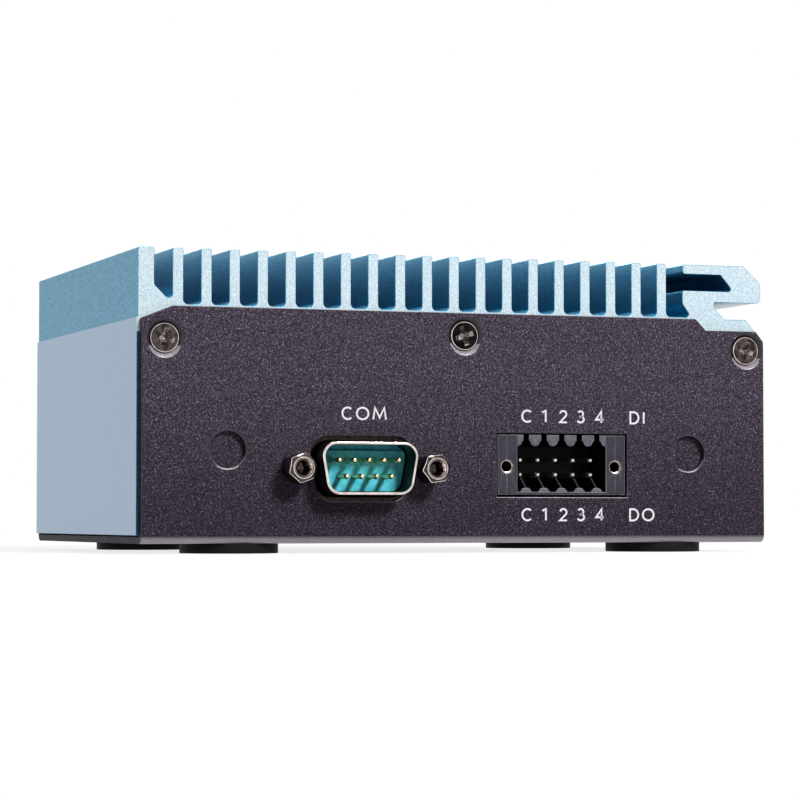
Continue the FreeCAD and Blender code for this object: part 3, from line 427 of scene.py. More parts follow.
# A soft black that keeps the shadow under the box closed.
rubber = moulded("black rubber", "#08070a", "#100e11", 0.55, 0.6, 0.01, 0.12)
# Seen only through openings: board green, resin black and pad grey.
mask = moulded("green solder mask", "#0b3520", "#115030", 0.3, 4.0, 0.02)
resin = moulded("moulding resin", "#141414", "#232324", 0.5, 0.3, 0.008)
silicone = moulded("grey silicone pad", "#6a6e73", "#868a8f", 0.7, 1.0, 0.02)
# Crisp white marks in front, and two small lamp windows in the rear sockets.
ink = moulded("white pad-printing ink", "#dcd9e0", "#f2f0f5", 0.5, 0.25, 0.004)
lens_green = moulded("green lamp window", "#4a8a4c", "#6fb26c", 0.2, 0.8, 0.002)
lens_amber = moulded("amber lamp window", "#b98a35", "#dcab50", 0.2, 0.8, 0.002)
print("materials:", len(bpy.data.materials))

# %% [markdown]
# ## Tools for making pieces
# Shapes are drawn in millimetres on the front panel: X from the middle, Y behind the panel's face,
# Z above the tray's underside. One matrix then sets them into the frame. A skin over rings of
# points makes screws, pins and threads, and a finished piece rides the body and stands for the
# nodes that it replaces.

# %% From the panel to the frame
front, under = [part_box("chassis_tray")[0][axis] for axis in (1, 2)]
PANEL = Matrix.Translation((0, front, under)) @ Matrix.Scale(MM, 4)
depth = (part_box("chassis_tray")[1].y - front) / MM
WELD = 0.002


def settled(piece, sharp):
    """Moves a shape from the panel's millimetres into the frame; edges over an angle stay sharp."""
    mesh = piece.data
    mesh.transform(PANEL)
    mesh.shade_smooth()
    mesh.set_sharp_from_angle(angle=math.radians(sharp))
    weighted = piece.modifiers.new("flat faces stay flat", "WEIGHTED_NORMAL")
    weighted.keep_sharp = True
    applied(piece)


def applied(piece):
    """Turns a piece's modifiers into plain mesh."""
    bpy.context.view_layer.update()
    result = piece.evaluated_get(bpy.context.evaluated_depsgraph_get())
    mesh = bpy.data.meshes.new_from_object(result, preserve_all_data_layers=True,
                                           depsgraph=bpy.context.evaluated_depsgraph_get())
    mesh.name = piece.name
    piece.modifiers.clear()
    piece.data = mesh
    return piece


def cut_out(piece, tool):
    """Cuts a tool's shape out of a piece and removes the tool."""
    cut = piece.modifiers.new("cut", "BOOLEAN")
    cut.object = tool
    cut.solver = "EXACT"
    applied(piece)
    bpy.data.objects.remove(tool)


def painted(piece, finishes, pick):
    """Each face takes the finish that a function picks by its middle and its normal."""
    piece.data.materials.clear()
    for finish in finishes:
        piece.data.materials.append(finish)
    for face in piece.data.polygons:
        face.material_index = finishes.index(pick(*face.center, face.normal))


def published(piece, sharp, slot, *nodes):
    """The settled piece rides the body and stands for these nodes; its slot is not used."""
    settled(piece, sharp)
    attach(piece, "root")
    if nodes:
        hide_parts(*nodes)
    print(piece.name, "has", len(piece.data.polygons), "faces")


print("front panel at", round(front / MM, 2), "mm, tray underside at", round(under / MM, 2), "mm")

# %% Skins over rings
def meshed(name, bm, material=None):
    """Object of a welded shape whose faces point outwards."""
    bmesh.ops.remove_doubles(bm, verts=bm.verts, dist=WELD)
    bmesh.ops.recalc_face_normals(bm, faces=bm.faces)
    mesh = bpy.data.meshes.new(name)
    bm.to_mesh(mesh)
    bm.free()
    if material:
        mesh.materials.append(material)
    return shown(name, mesh)


def skin(rings):
    """Shape over rings of points that have the same count, closed at both ends."""
    bm = bmesh.new()
    rows = [[bm.verts.new(point) for point in ring] for ring in rings]
    count = len(rows[0])
    for row, following in zip(rows, rows[1:]):
        for i in range(count):
            j = (i + 1) % count
            bm.faces.new((row[i], row[j], following[j], following[i]))
    bm.faces.new(rows[0])
    bm.faces.new(rows[-1])
    return bm


def ring(radius, y, columns, shape=None):
    """Points round an axis along Y; a shape turns each angle and radius into its own radius."""
    points = []
    for i in range(columns):
        angle = 2 * math.pi * i / columns
        reach = shape(angle, radius) if shape else radius
        points.append((reach * math.cos(angle), y, reach * math.sin(angle)))
    return points


def turned(profile, columns=48):
    """Skin over (radius, y) corners turned about an axis along Y."""
    return skin([ring(max(radius, 1e-4), y, columns) for radius, y in profile])


def threaded(core, crest, start, end, pitch, columns=40):
    """Rings of a bore whose wall winds as a thread from one y to another."""
    step = pitch / 6
    rings = []
    for k in range(int((end - start) / step) + 1):
        y = start + k * step

        def wall(angle, radius):
            phase = (y / pitch + angle / (2 * math.pi)) % 1
            return radius + (crest - core) * abs(2 * phase - 1)

        rings.append(ring(core, y, columns, wall))
    return rings


print("skins ready")

# %% Eased and split copies
def eased(name, node, rolls, sharp=32):
    """Welded copy of a node with flat facets joined; each roll is a width and a choice of edges."""
    bm = bmesh.new()
    bm.from_mesh(frame["nodes"][node].data)
    bmesh.ops.transform(bm, matrix=PANEL.inverted(), verts=bm.verts)
    bmesh.ops.remove_doubles(bm, verts=bm.verts, dist=WELD)
    bmesh.ops.dissolve_limit(bm, angle_limit=math.radians(0.4), verts=bm.verts, edges=bm.edges)
    for width, wanted in rolls:
        edges = [e for e in bm.edges if len(e.link_faces) == 2
                 and e.calc_face_angle() > math.radians(sharp) and wanted(e)]
        bmesh.ops.bevel(bm, geom=edges, offset=width, segments=2, profile=0.5,
                        affect="EDGES", clamp_overlap=False)
    mesh = bpy.data.meshes.new(name)
    bm.to_mesh(mesh)
    bm.free()
    for material in frame["nodes"][node].data.materials:
        mesh.materials.append(material)
    return shown(name, mesh)


def split(piece, chosen, planes):
    """Cuts the flat faces that a function picks along planes, for finishes that change there."""
    bm = bmesh.new()
    bm.from_mesh(piece.data)
    bmesh.ops.triangulate(bm, faces=[face for face in bm.faces if chosen(face)])
    for place, way in planes:
        faces = [face for face in bm.faces if chosen(face)]
        around = {edge for face in faces for edge in face.edges}
        corners = {vertex for face in faces for vertex in face.verts}
        bmesh.ops.bisect_plane(bm, geom=[*faces, *around, *corners], plane_co=place,
                               plane_no=way)
    bm.to_mesh(piece.data)
    bm.free()


def between(edge, axis, low, high):
    """Whether both ends of an edge lie between two limits along an axis."""
    return all(low <= v.co[axis] <= high for v in edge.verts)


print("piece tools ready")

# %% [markdown]
# ## Dressing the nodes
# Every node gets its finish first. Nodes that keep their shape stay as they are; the others are
# replaced below and hand their finish on.

# %% First dress of every node
slots = {
    "anodised_cover": anodised, "coated_steel": coat, "dark_nickel": head_dark_reflection,
    "bright_nickel": bright_nickel, "foot_rubber": rubber, "teal_insert": teal,
    "contact_gold": gold, "tin_plate": tin, "black_polymer": polyamide, "circuit_board": mask,
    "chip_resin": resin, "gap_pad": silicone, "milled_aluminium": milled_metal,
}
slot_of = {row["node"]: row["material_slot"] for row in frame["record"]["subparts"]}
for name, node in frame["nodes"].items():
    node.data.materials.clear()
    node.data.materials.append(slots[slot_of[name]])
frame["nodes"]["com_shell"].data.materials[0] = nickel_dark_reflection
print("dressed", len(slot_of), "nodes")

# %% [markdown]
# ## Geometry Nodes tools
# What repeats or follows a rule is grown by a Geometry Nodes tree: the tree is built once, its
# sizes are named inputs, and the result is turned into plain mesh. Instances are made real at
# the end, because an exported model can't keep them.

# %% Growing pieces from trees
def new_tree(name, inputs):
    """Geometry node tree with its named inputs; returns it with the sockets that they feed."""
    tree = bpy.data.node_groups.new(name, "GeometryNodeTree")
    tree.interface.new_socket("Geometry", in_out="INPUT", socket_type="NodeSocketGeometry")
    for label, kind in inputs.items():
        tree.interface.new_socket(label, in_out="INPUT", socket_type="NodeSocket" + kind)
    tree.interface.new_socket("Geometry", in_out="OUTPUT", socket_type="NodeSocketGeometry")
    return tree, tree.nodes.new("NodeGroupInput").outputs


def grown(name, source, tree, **values):
    """Plain mesh piece that a tree makes from a source mesh with these input values."""
    host = shown(name, source)
    modifier = host.modifiers.new(name, "NODES")
    modifier.node_group = tree
    for item in tree.interface.items_tree:
        if item.in_out == "INPUT" and item.name in values:
            modifier[item.identifier] = values[item.name]
    return applied(host)


print("tree helpers ready")

# %% Setting copies out on points
def ended(tree, geometry, finish):
    """Makes instances real, gives them a finish and ends the tree."""
    real = add(tree, "GeometryNodeRealizeInstances", Geometry=geometry)
    dressed = add(tree, "GeometryNodeSetMaterial", Geometry=real, Material=finish)
    add(tree, "NodeGroupOutput", Geometry=dressed)
    return tree


def set_out_tree():
    """Copies of a unit on points, each turned about Y by the point's own angle."""
    tree, given = new_tree("set out", {"Unit": "Object", "Finish": "Material"})
    unit = add(tree, "GeometryNodeObjectInfo", Object=given["Unit"])
    turn = add(tree, "GeometryNodeInputNamedAttribute", {"data_type": "FLOAT"}, Name="turn")
    axes = add(tree, "ShaderNodeCombineXYZ", Y=turn)
    spin = add(tree, "FunctionNodeEulerToRotation", i0=axes)
    copies = add(tree, "GeometryNodeInstanceOnPoints", Points=given["Geometry"],
                 Instance=unit.outputs["Geometry"], Rotation=spin)
    return ended(tree, copies, given["Finish"])


SET_OUT = set_out_tree()


def set_out(name, unit, places, finish):
    """One piece of copies of a unit shape at (x, y, z, turn in degrees) places."""
    points = bpy.data.meshes.new(name + " places")
    points.from_pydata([place[:3] for place in places], [], [])
    turns = points.attributes.new("turn", "FLOAT", "POINT")
    for item, place in zip(turns.data, places):
        item.value = math.radians(place[3])
    piece = grown(name, points, SET_OUT, Unit=unit, Finish=finish)
    bpy.data.objects.remove(unit)
    return piece


def parted(piece, places, choose, *finishes):
    """More finishes on a piece of copies: each face picks by its radius and depth in a copy."""
    main = piece.data.materials[-1]
    piece.data.materials.clear()
    for finish in (main, *finishes):
        piece.data.materials.append(finish)
    for face in piece.data.polygons:
        middle = face.center
        face.material_index = choose(*min((math.hypot(middle.x - x, middle.z - z), middle.y - y)
                                          for x, y, z, _ in places))


print("trees:", [tree.name for tree in bpy.data.node_groups])

# %% [markdown]
# ## The finned cover
# The cover is one aluminium extrusion: a plate with nineteen fins, a thick wall at the left and
# an undercut hook rail at the right. Its outline follows a rule, so a tree grows it: one fin is
# drawn once and repeated at a pitch, the rest of the border closes the outline, every corner is
# rounded by its own radius, and the filled outline is pulled back through the depth.

# %% Corners of the outline, x and z in millimetres and a radius
HALF = 60.5
FIN_COUNT = 19
FIN_PITCH = 5.166
FIN_THICKNESS = 1.94
FIRST_FIN = 6.25 - HALF
TOP = 51.75
VALLEY = 41.9
SKIRT = 1.5
LAND = HALF + 0.3
WALL = HALF - 2.4
valley_half = (FIN_PITCH - FIN_THICKNESS) / 2

fin = [(-valley_half, VALLEY, 0), (0, VALLEY, 0.85), (0, TOP, 0.3), (FIN_THICKNESS, TOP, 0.3),
       (FIN_THICKNESS, VALLEY, 0.85), (FIN_THICKNESS + valley_half, VALLEY, 0)]
hook_rail = [(x - HALF, z, radius) for x, z, radius in [
    (105.4, VALLEY, 0.3), (105.9, 42.5, 0.4), (104.5, 44.4, 0.8), (104.5, 46.9, 0.4),
    (115.1, 46.9, 0.5), (112.4, 50.0, 0.3), (104.6, 50.0, 0.5), (104.6, TOP, 0.3),
    (117.2, TOP, 0.4), (120.7, 48.6, 0.5), (120.7, 44.85, 1.0), (111.0, 44.8, 0.3),
    (111.0, 43.8, 0.6), (113.2, 41.65, 0.5), (117.7, 41.65, 0.5), (119.4, 39.6, 0.2)]]
underside = [(WALL, 31.0, 1.0), (52.6, 32.4, 1.0), (52.6, 38.0, 1.0), (4.3, 38.0, 0.8),
             (3.3, 34.2, 1.2), (-3.1, 34.2, 1.2), (-4.1, 38.0, 0.8), (-51.9, 38.0, 1.0),
             (-51.9, 32.4, 1.0), (-WALL, 31.0, 1.0)]
last_valley = FIRST_FIN + (FIN_COUNT - 1) * FIN_PITCH + FIN_THICKNESS + valley_half
border = [(last_valley, VALLEY, 0), *hook_rail, (LAND, 37.6, 0.1), (LAND, SKIRT, 0),
          (WALL, SKIRT, 0), *underside, (-WALL, SKIRT, 0), (-LAND, SKIRT, 0),
          (-LAND, 39.5, 0.12), (-HALF, 39.5, 0.05), (-HALF, TOP, 0.3),
          (-HALF + 2.95, TOP, 0.3), (-HALF + 2.95, 45.2, 0.8),
          *[(x + FIRST_FIN, z + (0.1 if i == 0 else 0), min(radius, 0.7 if i == 0 else 0.85))
            for i, (x, z, radius) in enumerate(fin[1:])]]


def chain(name, corners):
    """Open line of corners, each with a radius, lying in X and Y until the tree raises it."""
    mesh = bpy.data.meshes.new(name)
    mesh.from_pydata([(x, z, 0) for x, z, _ in corners],
                     [(i, i + 1) for i in range(len(corners) - 1)], [])
    radii = mesh.attributes.new("radius", "FLOAT", "POINT")
    for item, corner in zip(radii.data, corners):
        item.value = corner[2]
    return mesh


print("border corners:", len(border), "and", len(fin), "for each fin")

# %% The tree that grows the profile
def profile_tree():
    """Rounds the border and one fin, repeats the fin, and pulls the filled outline back."""
    tree, given = new_tree("finned profile", {
        "Fin": "Object", "First": "Float", "Pitch": "Float", "Count": "Int", "Depth": "Float",
        "Finish": "Material"})

    def rounded(line):
        curve = add(tree, "GeometryNodeMeshToCurve", Mesh=line)
        radius = add(tree, "GeometryNodeInputNamedAttribute", {"data_type": "FLOAT"},
                     Name="radius")
        bent = add(tree, "GeometryNodeFilletCurve", {"mode": "POLY"}, Curve=curve, Count=5,
                   Radius=radius, Limit_Radius=True)
        return add(tree, "GeometryNodeCurveToMesh", Curve=bent)

    unit = add(tree, "GeometryNodeObjectInfo", Object=given["Fin"])
    start = add(tree, "ShaderNodeCombineXYZ", X=given["First"])
    step = add(tree, "ShaderNodeCombineXYZ", X=given["Pitch"])
    row = add(tree, "GeometryNodeMeshLine", {"mode": "OFFSET"}, Count=given["Count"],
              Start_Location=start, Offset=step)
    fins = add(tree, "GeometryNodeInstanceOnPoints", Points=row,
               Instance=rounded(unit.outputs["Geometry"]))
    real = add(tree, "GeometryNodeRealizeInstances", Geometry=fins)
    lines = add(tree, "GeometryNodeJoinGeometry", Geometry=[real, rounded(given["Geometry"])])
    loop = add(tree, "GeometryNodeMergeByDistance", Geometry=lines, Distance=0.01)
    outline = add(tree, "GeometryNodeMeshToCurve", Mesh=loop)
    face = add(tree, "GeometryNodeFillCurve", {"mode": "NGONS"}, Curve=outline)
    raised = add(tree, "GeometryNodeTransform", Geometry=face, Rotation=(math.pi / 2, 0, 0))
    back = add(tree, "GeometryNodeFlipFaces", Mesh=raised)
    way = add(tree, "ShaderNodeCombineXYZ", Y=given["Depth"])
    pulled = add(tree, "GeometryNodeExtrudeMesh", {"mode": "FACES"}, Mesh=back, Offset=way,
                 Offset_Scale=1.0, Individual=False)
    shell = add(tree, "GeometryNodeJoinGeometry", Geometry=[raised, pulled])
    welded = add(tree, "GeometryNodeMergeByDistance", Geometry=shell, Distance=0.001)
    return ended(tree, welded, given["Finish"])


SHEET = 1.2
cover_depth = depth - 2 * SHEET
fin_line = shown("fin line", chain("fin line", fin))
cover = grown("finned_cover", chain("border", border), profile_tree(), Fin=fin_line,
              First=FIRST_FIN + FIN_PITCH, Pitch=FIN_PITCH, Count=FIN_COUNT - 1,
              Depth=cover_depth, Finish=anodised)
bpy.data.objects.remove(fin_line)
cover.data.transform(Matrix.Translation((0, SHEET, 0)))
print("profile:", len(cover.data.vertices), "points")

# %% [markdown]
# Three things follow the extrusion, as in the workshop: the pockets behind the panel screws and
# over the processor are cut, the sawn ends get a fine broken edge, and the ends, lands, fin flanks,
# lip and skirt take their own finish, which paints light on the ends, shade at the feet of the
# fins, a reflection of the table under the rail's lip and a shadow on the skirt ends.

# %% Pockets and broken edges
SCREWS = [(4.6 - HALF, 35.9), (60.6 - HALF, 37.4), (117.1 - HALF, 35.8)]
SEAT_SIZE = (48, 42, 8)
SEAT_MIDDLE = (-2, 38, 34)
BROKEN_EDGE = 0.09
SKIRT_INNER = 59
SKIRT_TOP = 37
cutter = bmesh.new()
for x, z in SCREWS:
    for face_y, way in ((0, 1), (depth, -1)):
        pocket = turned([(0, -0.5), (3.7, -0.5), (3.7, SHEET), (2.6, 2.55), (1.5, 2.55),
                         (1.5, 13.0), (0, 13.0)], 40)
        bmesh.ops.scale(pocket, vec=(1, way, 1), verts=pocket.verts)
        bmesh.ops.translate(pocket, vec=(x, face_y, z), verts=pocket.verts)
        bmesh.ops.recalc_face_normals(pocket, faces=pocket.faces)
        part = bpy.data.meshes.new("pocket")
        pocket.to_mesh(part)
        cutter.from_mesh(part)
seat = bmesh.ops.create_cube(cutter, size=1.0)
bmesh.ops.scale(cutter, vec=SEAT_SIZE, verts=seat["verts"])
bmesh.ops.translate(cutter, vec=SEAT_MIDDLE, verts=seat["verts"])
cut_out(cover, meshed("cutter", cutter))

bm = bmesh.new()
bm.from_mesh(cover.data)
ends = (SHEET, depth - SHEET)
edges = [e for e in bm.edges if len(e.link_faces) == 2 and e.calc_face_angle() > 1
         and any(between(e, 1, end - 0.001, end + 0.001) for end in ends)]
bmesh.ops.bevel(bm, geom=edges, offset=BROKEN_EDGE, segments=1, affect="EDGES",
                clamp_overlap=False)
bm.to_mesh(cover.data)
bm.free()
split(cover, lambda face: abs(face.normal.y) > 0.9,
      [((x, 0, 0), (1, 0, 0)) for x in (-SKIRT_INNER, SKIRT_INNER)]
      + [((0, 0, SKIRT_TOP), (0, 0, 1))])
print("cover:", len(cover.data.polygons), "faces")

# %% The cover's finishes
RAIL_LIP = (50.6, 44, 45)
LAND_TOP = 39.6


def cover_finish(x, y, z, normal):
    """Sawn ends with painted light, skirt ends in painted shadow, a painted reflection under the
    rail, lands, fins, rest.
    """
    if abs(normal.y) > 0.9:
        return skirt_end_shadow if z < SKIRT_TOP and abs(x) > SKIRT_INNER else sawn_end_and_painted_light
    if x > RAIL_LIP[0] and RAIL_LIP[1] < z < RAIL_LIP[2] and normal.z < -0.9:
        return rail_lip_reflection
    if abs(x) > HALF - 0.1 and z < LAND_TOP:
        return anodised_land
    return anodised_fin if abs(x) < HALF - 3 and z > VALLEY - 0.3 else anodised


painted(cover, COVER_FINISHES, cover_finish)
published(cover, 40, "anodised_cover", "heatsink_cover")

# %% [markdown]
# ## The folded tray
# The steel tray is laser-cut, punched and folded. Its node already has the dimples, the
# half-pierced discs and the bends; what a punch leaves is a slightly rolled edge, and that edge
# is what draws a thin line of light round each opening. So the node's mesh is welded and only
# its chosen edges are rolled over.

# %% Rolled edges
DISC_ROLL = 0.3
CUT_ROLL = 0.13
CORNER_ROLL = 0.08
CORNER_REACH = 3.7
DISCS = [(16.0 - HALF, 16.45), (105.0 - HALF, 16.4)]
DISC_RADIUS = 3.25


def on_disc(edge):
    """Whether an edge lies on the rim of a half-pierced disc."""
    return any(abs(math.hypot(v.co.x - x, v.co.z - z) - DISC_RADIUS) < 0.05
               for v in edge.verts for x, z in DISCS)


def front_edge(edge):
    """Whether an edge lies in the front panel's face."""
    return between(edge, 1, -0.01, 0.01)


def rim(edge):
    """Whether an edge lies in the plane of the front or rear panel."""
    return front_edge(edge) or between(edge, 1, depth - 0.01, depth + 0.01)


def at_corner(edge):
    """Rim of the dimple beside the clipped corner, which leaves room for a small roll only."""
    return all(math.hypot(v.co.x - SCREWS[2][0], v.co.z - SCREWS[2][1]) < CORNER_REACH
               for v in edge.verts)


tray = eased("folded_tray", "chassis_tray", [
    (DISC_ROLL, lambda e: front_edge(e) and on_disc(e)),
    (CORNER_ROLL, lambda e: rim(e) and at_corner(e)),
    (CUT_ROLL, lambda e: rim(e) and not at_corner(e) and not (front_edge(e) and on_disc(e)))])
print("tray:", len(tray.data.polygons), "faces")

# %% [markdown]
# The die that formed the dimples pulled their lower side into a wide, soft lip, which catches
# the most light. The rolled ring is already there, so its points only move: outwards, and back
# along a larger arc, fully at the foot of the ring and not at all at its sides. The discs'
# floors are pushed a little deeper in the same loop, from 0.8 to 1.1 mm.

# %% Formed lips and deeper discs
RING_OUT = 3.545
RING_IN = RING_OUT - 0.26
RING_ARC = 0.35
DISC_FLOOR = 0.8
DISC_DEPTH = 1.1
PANEL_CLEAR = 59.6
DIMPLE_RADIUS = 3.4
FORMED_LIP = 0.9
FORMED_OUT = DIMPLE_RADIUS + (2 ** 0.5 - 1) * FORMED_LIP
for vertex in tray.data.vertices:
    x, y, z = vertex.co
    for at_x, at_z in SCREWS:
        reach = math.hypot(x - at_x, z - at_z)
        if RING_IN < reach < RING_OUT + 0.02 and y < 0.12 and abs(x) < PANEL_CLEAR:
            low = min(1.0, max(0.0, ((at_z - z) / reach - 0.3) / 0.3))
            slope = math.asin(min(0.7071, max(0.0, (RING_OUT - reach) / RING_ARC)))
            wide = 1 + low * ((FORMED_OUT - FORMED_LIP * math.sin(slope)) / reach - 1)
            deep = y + low * (FORMED_LIP * (1 - math.cos(slope)) - y)
            vertex.co = (at_x + (x - at_x) * wide, deep, at_z + (z - at_z) * wide)
    floored = any(math.hypot(x - at_x, z - at_z) < DISC_RADIUS + 0.02 for at_x, at_z in DISCS)
    if floored and abs(y - DISC_FLOOR) < 0.1:
        vertex.co.y = DISC_DEPTH
print("dimples and discs formed")

# %% The tray's finishes
BEND_TOP = 1.45
PANEL_BACK = 1.3
LIPS_TOP = 38


def tray_finish(x, y, z, normal):
    """The full coat on flats; thin coats with a painted reflection on the bend, highlights on lips
    and shade on edges.
    """
    bend = z < BEND_TOP and -0.97 < normal.z < -0.08
    if bend or z < PANEL_BACK and abs(normal.x) > 0.9 and abs(x) > SKIRT_INNER:
        return bend_coat_reflection
    if abs(normal.y) > 0.985 or PANEL_BACK < y < depth - PANEL_BACK:
        return coat
    return lip_coat_highlight if normal.z > 0.3 and abs(normal.y) > 0.3 and z < LIPS_TOP else edge_coat_shade


painted(tray, TRAY_FINISHES, tray_finish)
published(tray, 30, "coated_steel", "chassis_tray")

# %% [markdown]
# ## Screws
# Six countersunk M3 screws hold the panels. Seen close, the head is a flat face inside a thin
# raised rim, with a cross recess whose four wings narrow and slope towards the middle. The head is
# turned, the recess is cut out once, and the screw is set out at its places, each turned as the
# screwdriver left it. Rims and recesses carry painted highlights, the rest of each head a painted
# dark reflection, and the middle screw in front is painted darker still.

# %% Panel screws
SUNK = 0.3
HEAD = 2.6


def cross_recess(reach, half, top, floor):
    """Cross-shaped hollow along Y whose wings narrow and shorten towards its floor."""
    rings = []
    for grow, thick, y in ((1.06, 1.03, top - 0.1), (1.0, 1.0, top), (0.86, 0.92, top + 0.25),
                           (0.52, 0.8, top + 0.95), (0.3, 0.5, floor)):
        far, near = reach * grow, half * thick
        soft = near * (1.6 if grow > 0.4 else 1.1)
        quarter = [(near, far), (near, soft), (soft, near), (far, near)]
        points = [Matrix.Rotation(-math.pi / 2 * k, 2) @ Vector(p)
                  for k in range(4) for p in quarter]
        rings.append([(p.x, y, p.y) for p in points])
    return meshed("recess", skin(rings))


def panel_screw(way):
    """Screw along Y with its head's rim at the origin's plane, pointing inwards."""
    profile = [(0, SUNK + 0.07), (HEAD - 0.2, SUNK + 0.05), (HEAD - 0.15, SUNK),
               (HEAD - 0.06, SUNK), (HEAD, SUNK + 0.06), (HEAD, SUNK + 0.14),
               (HEAD, 0.77), (1.45, 1.92), (1.45, 8.8), (1.25, 9.0), (0, 9.0)]
    screw = meshed("screw", turned(profile, 56))
    cut_out(screw, cross_recess(1.74, 0.46, SUNK + 0.07, SUNK + 1.6))
    if way < 0:
        screw.data.transform(Matrix.Rotation(math.pi, 4, "Z"))
    return screw


def head_part(reach, y):
    """Painted highlight on the rim and in the recess, a painted dark reflection on the rest."""
    if reach > HEAD - 0.17 and abs(y) < SUNK + 0.04:
        return 1
    return 2 if reach < 1.8 and SUNK + 0.08 < abs(y) < 2 else 0


print("recess and screw shapes ready")

# %% Screws at their places
for side, face_y, way, turns in (("front", 0, 1, (17, -17, 18)),
                                 ("rear", depth, -1, (-8, 31, 12))):
    places = [(x, face_y, z, turn) for (x, z), turn in zip(SCREWS, turns)]
    screws = set_out(f"{side}_panel_screws", panel_screw(way), places, head_dark_reflection)
    parted(screws, places, head_part, bright_nickel, recess_highlight)
    # The middle front screw is painted darker than the others.
    if side == "front":
        screws.data.materials.append(darker_middle_head)
        for face in screws.data.polygons:
            if abs(face.center.x - SCREWS[1][0]) < 3 and face.material_index == 0:
                face.material_index = 3
    published(screws, 28, "dark_nickel", f"{side}_screws")

# %% [markdown]
# ## The serial connector
# A D-shaped shell is drawn from thin steel and nickel plated, a teal insert sits back in it, and
# nine gold pins stand in two rows. The shell and the insert keep the shapes of their nodes, welded
# so that their round edges shade smoothly. The shell's rim carries a painted highlight, its flange
# and inner wall painted shade, and its drawn wall a painted dark reflection. The pins are turned,
# bent down behind the insert, and set out by row.

# %% Shell and insert
COM_X = 40.88 - HALF
COM_Z = 13.28
COM_PITCH = 2.77
COM_ROW = 2.84
RIM = -4.66
FLANGE = -0.2


def shell_finish(x, y, z, normal):
    """Painted highlight on the rim; painted shade on flange and inner wall; a painted dark
    reflection between.
    """
    if y < RIM:
        return bright_nickel
    inside = normal.x * (x - COM_X) + normal.z * (z - COM_Z) < 0
    return nickel_painted_shade if y > FLANGE or inside and y > RIM + 0.3 else nickel_dark_reflection


shell = eased("serial_shell", "com_shell", [])
painted(shell, (nickel_dark_reflection, bright_nickel, nickel_painted_shade), shell_finish)
published(shell, 40, "bright_nickel", "com_shell")
insert = eased("serial_insert", "com_insulator", [(0.05, lambda e: between(e, 1, 0.45, 0.55))])
published(insert, 40, "teal_insert", "com_insulator")

# %% Pins
def bent_pin(radius, tip_y, tail_y, drop, columns=16):
    """Round pin with a bullet tip along Y, turned down at its tail."""
    rings = [ring(radius * r, tip_y + radius * y, columns)
             for r, y in ((0.001, 0), (0.52, 0.02), (0.62, 0.1), (0.88, 0.75), (0.97, 1.1),
                          (1.0, 1.4))]
    bend = 0.9
    for k in range(6):
        angle = math.pi / 2 * k / 5
        slope = Matrix.Rotation(-angle, 3, "X")
        middle = Vector((0, tail_y - bend + bend * math.sin(angle),
                         -bend + bend * math.cos(angle)))
        rings.append([middle + slope @ Vector(p) for p in ring(radius, 0, columns)])
    flat = Matrix.Rotation(-math.pi / 2, 3, "X")
    for r, z in ((1.0, -drop + radius), (0.5, -drop)):
        rings.append([Vector((0, tail_y, z)) + flat @ Vector(p)
                      for p in ring(radius * r, 0, columns)])
    return meshed("pin", skin(rings))


BOARD_FOOT = 4.55
PIN_RADIUS = 0.5
PIN_TIP = -4.2
PIN_TAIL = 12.0
rows = []
for row, count in ((0, 5), (1, 4)):
    z = COM_Z + (0.5 - row) * COM_ROW
    places = [(COM_X + (i - (count - 1) / 2) * COM_PITCH, 0, z, 0) for i in range(count)]
    pin = bent_pin(PIN_RADIUS, PIN_TIP, PIN_TAIL - COM_ROW * row, z - BOARD_FOOT)
    rows.append(set_out(f"serial_pins_{row + 1}", pin, places, gold))
for piece in rows:
    published(piece, 50, "contact_gold", "com_pins")

# %% [markdown]
# Beside the shell stand two hexagonal jack screws with a tapped nose. The hexagon is chamfered
# by a turning tool, which leaves an arc on each flat, and inside is a real thread. One skin of
# rings makes both: outside, the radius follows the hexagon until the chamfer cuts it.

# %% Jack screws
JACK_ACROSS = 4.75
JACK_REACH = 5.1
JACK_SPACING = 24.99
JACK_CORNER = 2.7
JACK_FACE = 1.96
JACK_CONE = 0.62
JACK_PITCH = 0.6


def hexagon(angle, inset):
    """Radius of the hexagon at an angle, less an inset."""
    turn = (angle - math.pi / 2) % (math.pi / 3) - math.pi / 6
    return min(JACK_ACROSS / 2 / math.cos(turn), JACK_CORNER) - inset


def nose(inset, lift, columns):
    """Ring where a cone from the flat end cuts the hexagon, moved in by an inset and back."""
    ring_points = []
    for x, _, z in ring(0, 0, columns, hexagon):
        reach = math.hypot(x, z)
        y = (reach - JACK_FACE) * JACK_CONE + lift - JACK_REACH
        ring_points.append((x * (1 - inset / reach), y, z * (1 - inset / reach)))
    return ring_points


print("hexagon and cone ready")


# %% One jack screw, set out twice
def jack_screw():
    """Chamfered hexagon with a countersunk, threaded bore and a stud behind."""
    columns = 72
    rings = [ring(1e-4, 6.0, columns), ring(1.42, 6.0, columns), ring(1.42, 0.02, columns)]
    rings += [ring(0, 0, columns, hexagon), nose(0, 0.1, columns), nose(0.09, 0.0, columns)]
    for radius, y in ((JACK_FACE, 0.02), (JACK_FACE - 0.02, 0), (1.8, 0), (1.76, 0.1),
                      (1.66, 0.1), (1.62, 0), (1.58, 0), (1.21, 0.55)):
        rings.append(ring(radius, y - JACK_REACH, columns))
    rings += threaded(1.2, 1.4, -JACK_REACH + 0.6, -0.7, JACK_PITCH, columns)
    rings += [ring(0.6, -0.45, columns), ring(1e-4, -0.3, columns)]
    return meshed("jack", skin(rings))


jack_places = [(COM_X + side * JACK_SPACING / 2, 0, COM_Z, -turn)
               for side, turn in ((-1, -10), (1, -22))]
jacks = set_out("jack_screws", jack_screw(), jack_places, nickel_dark_reflection)


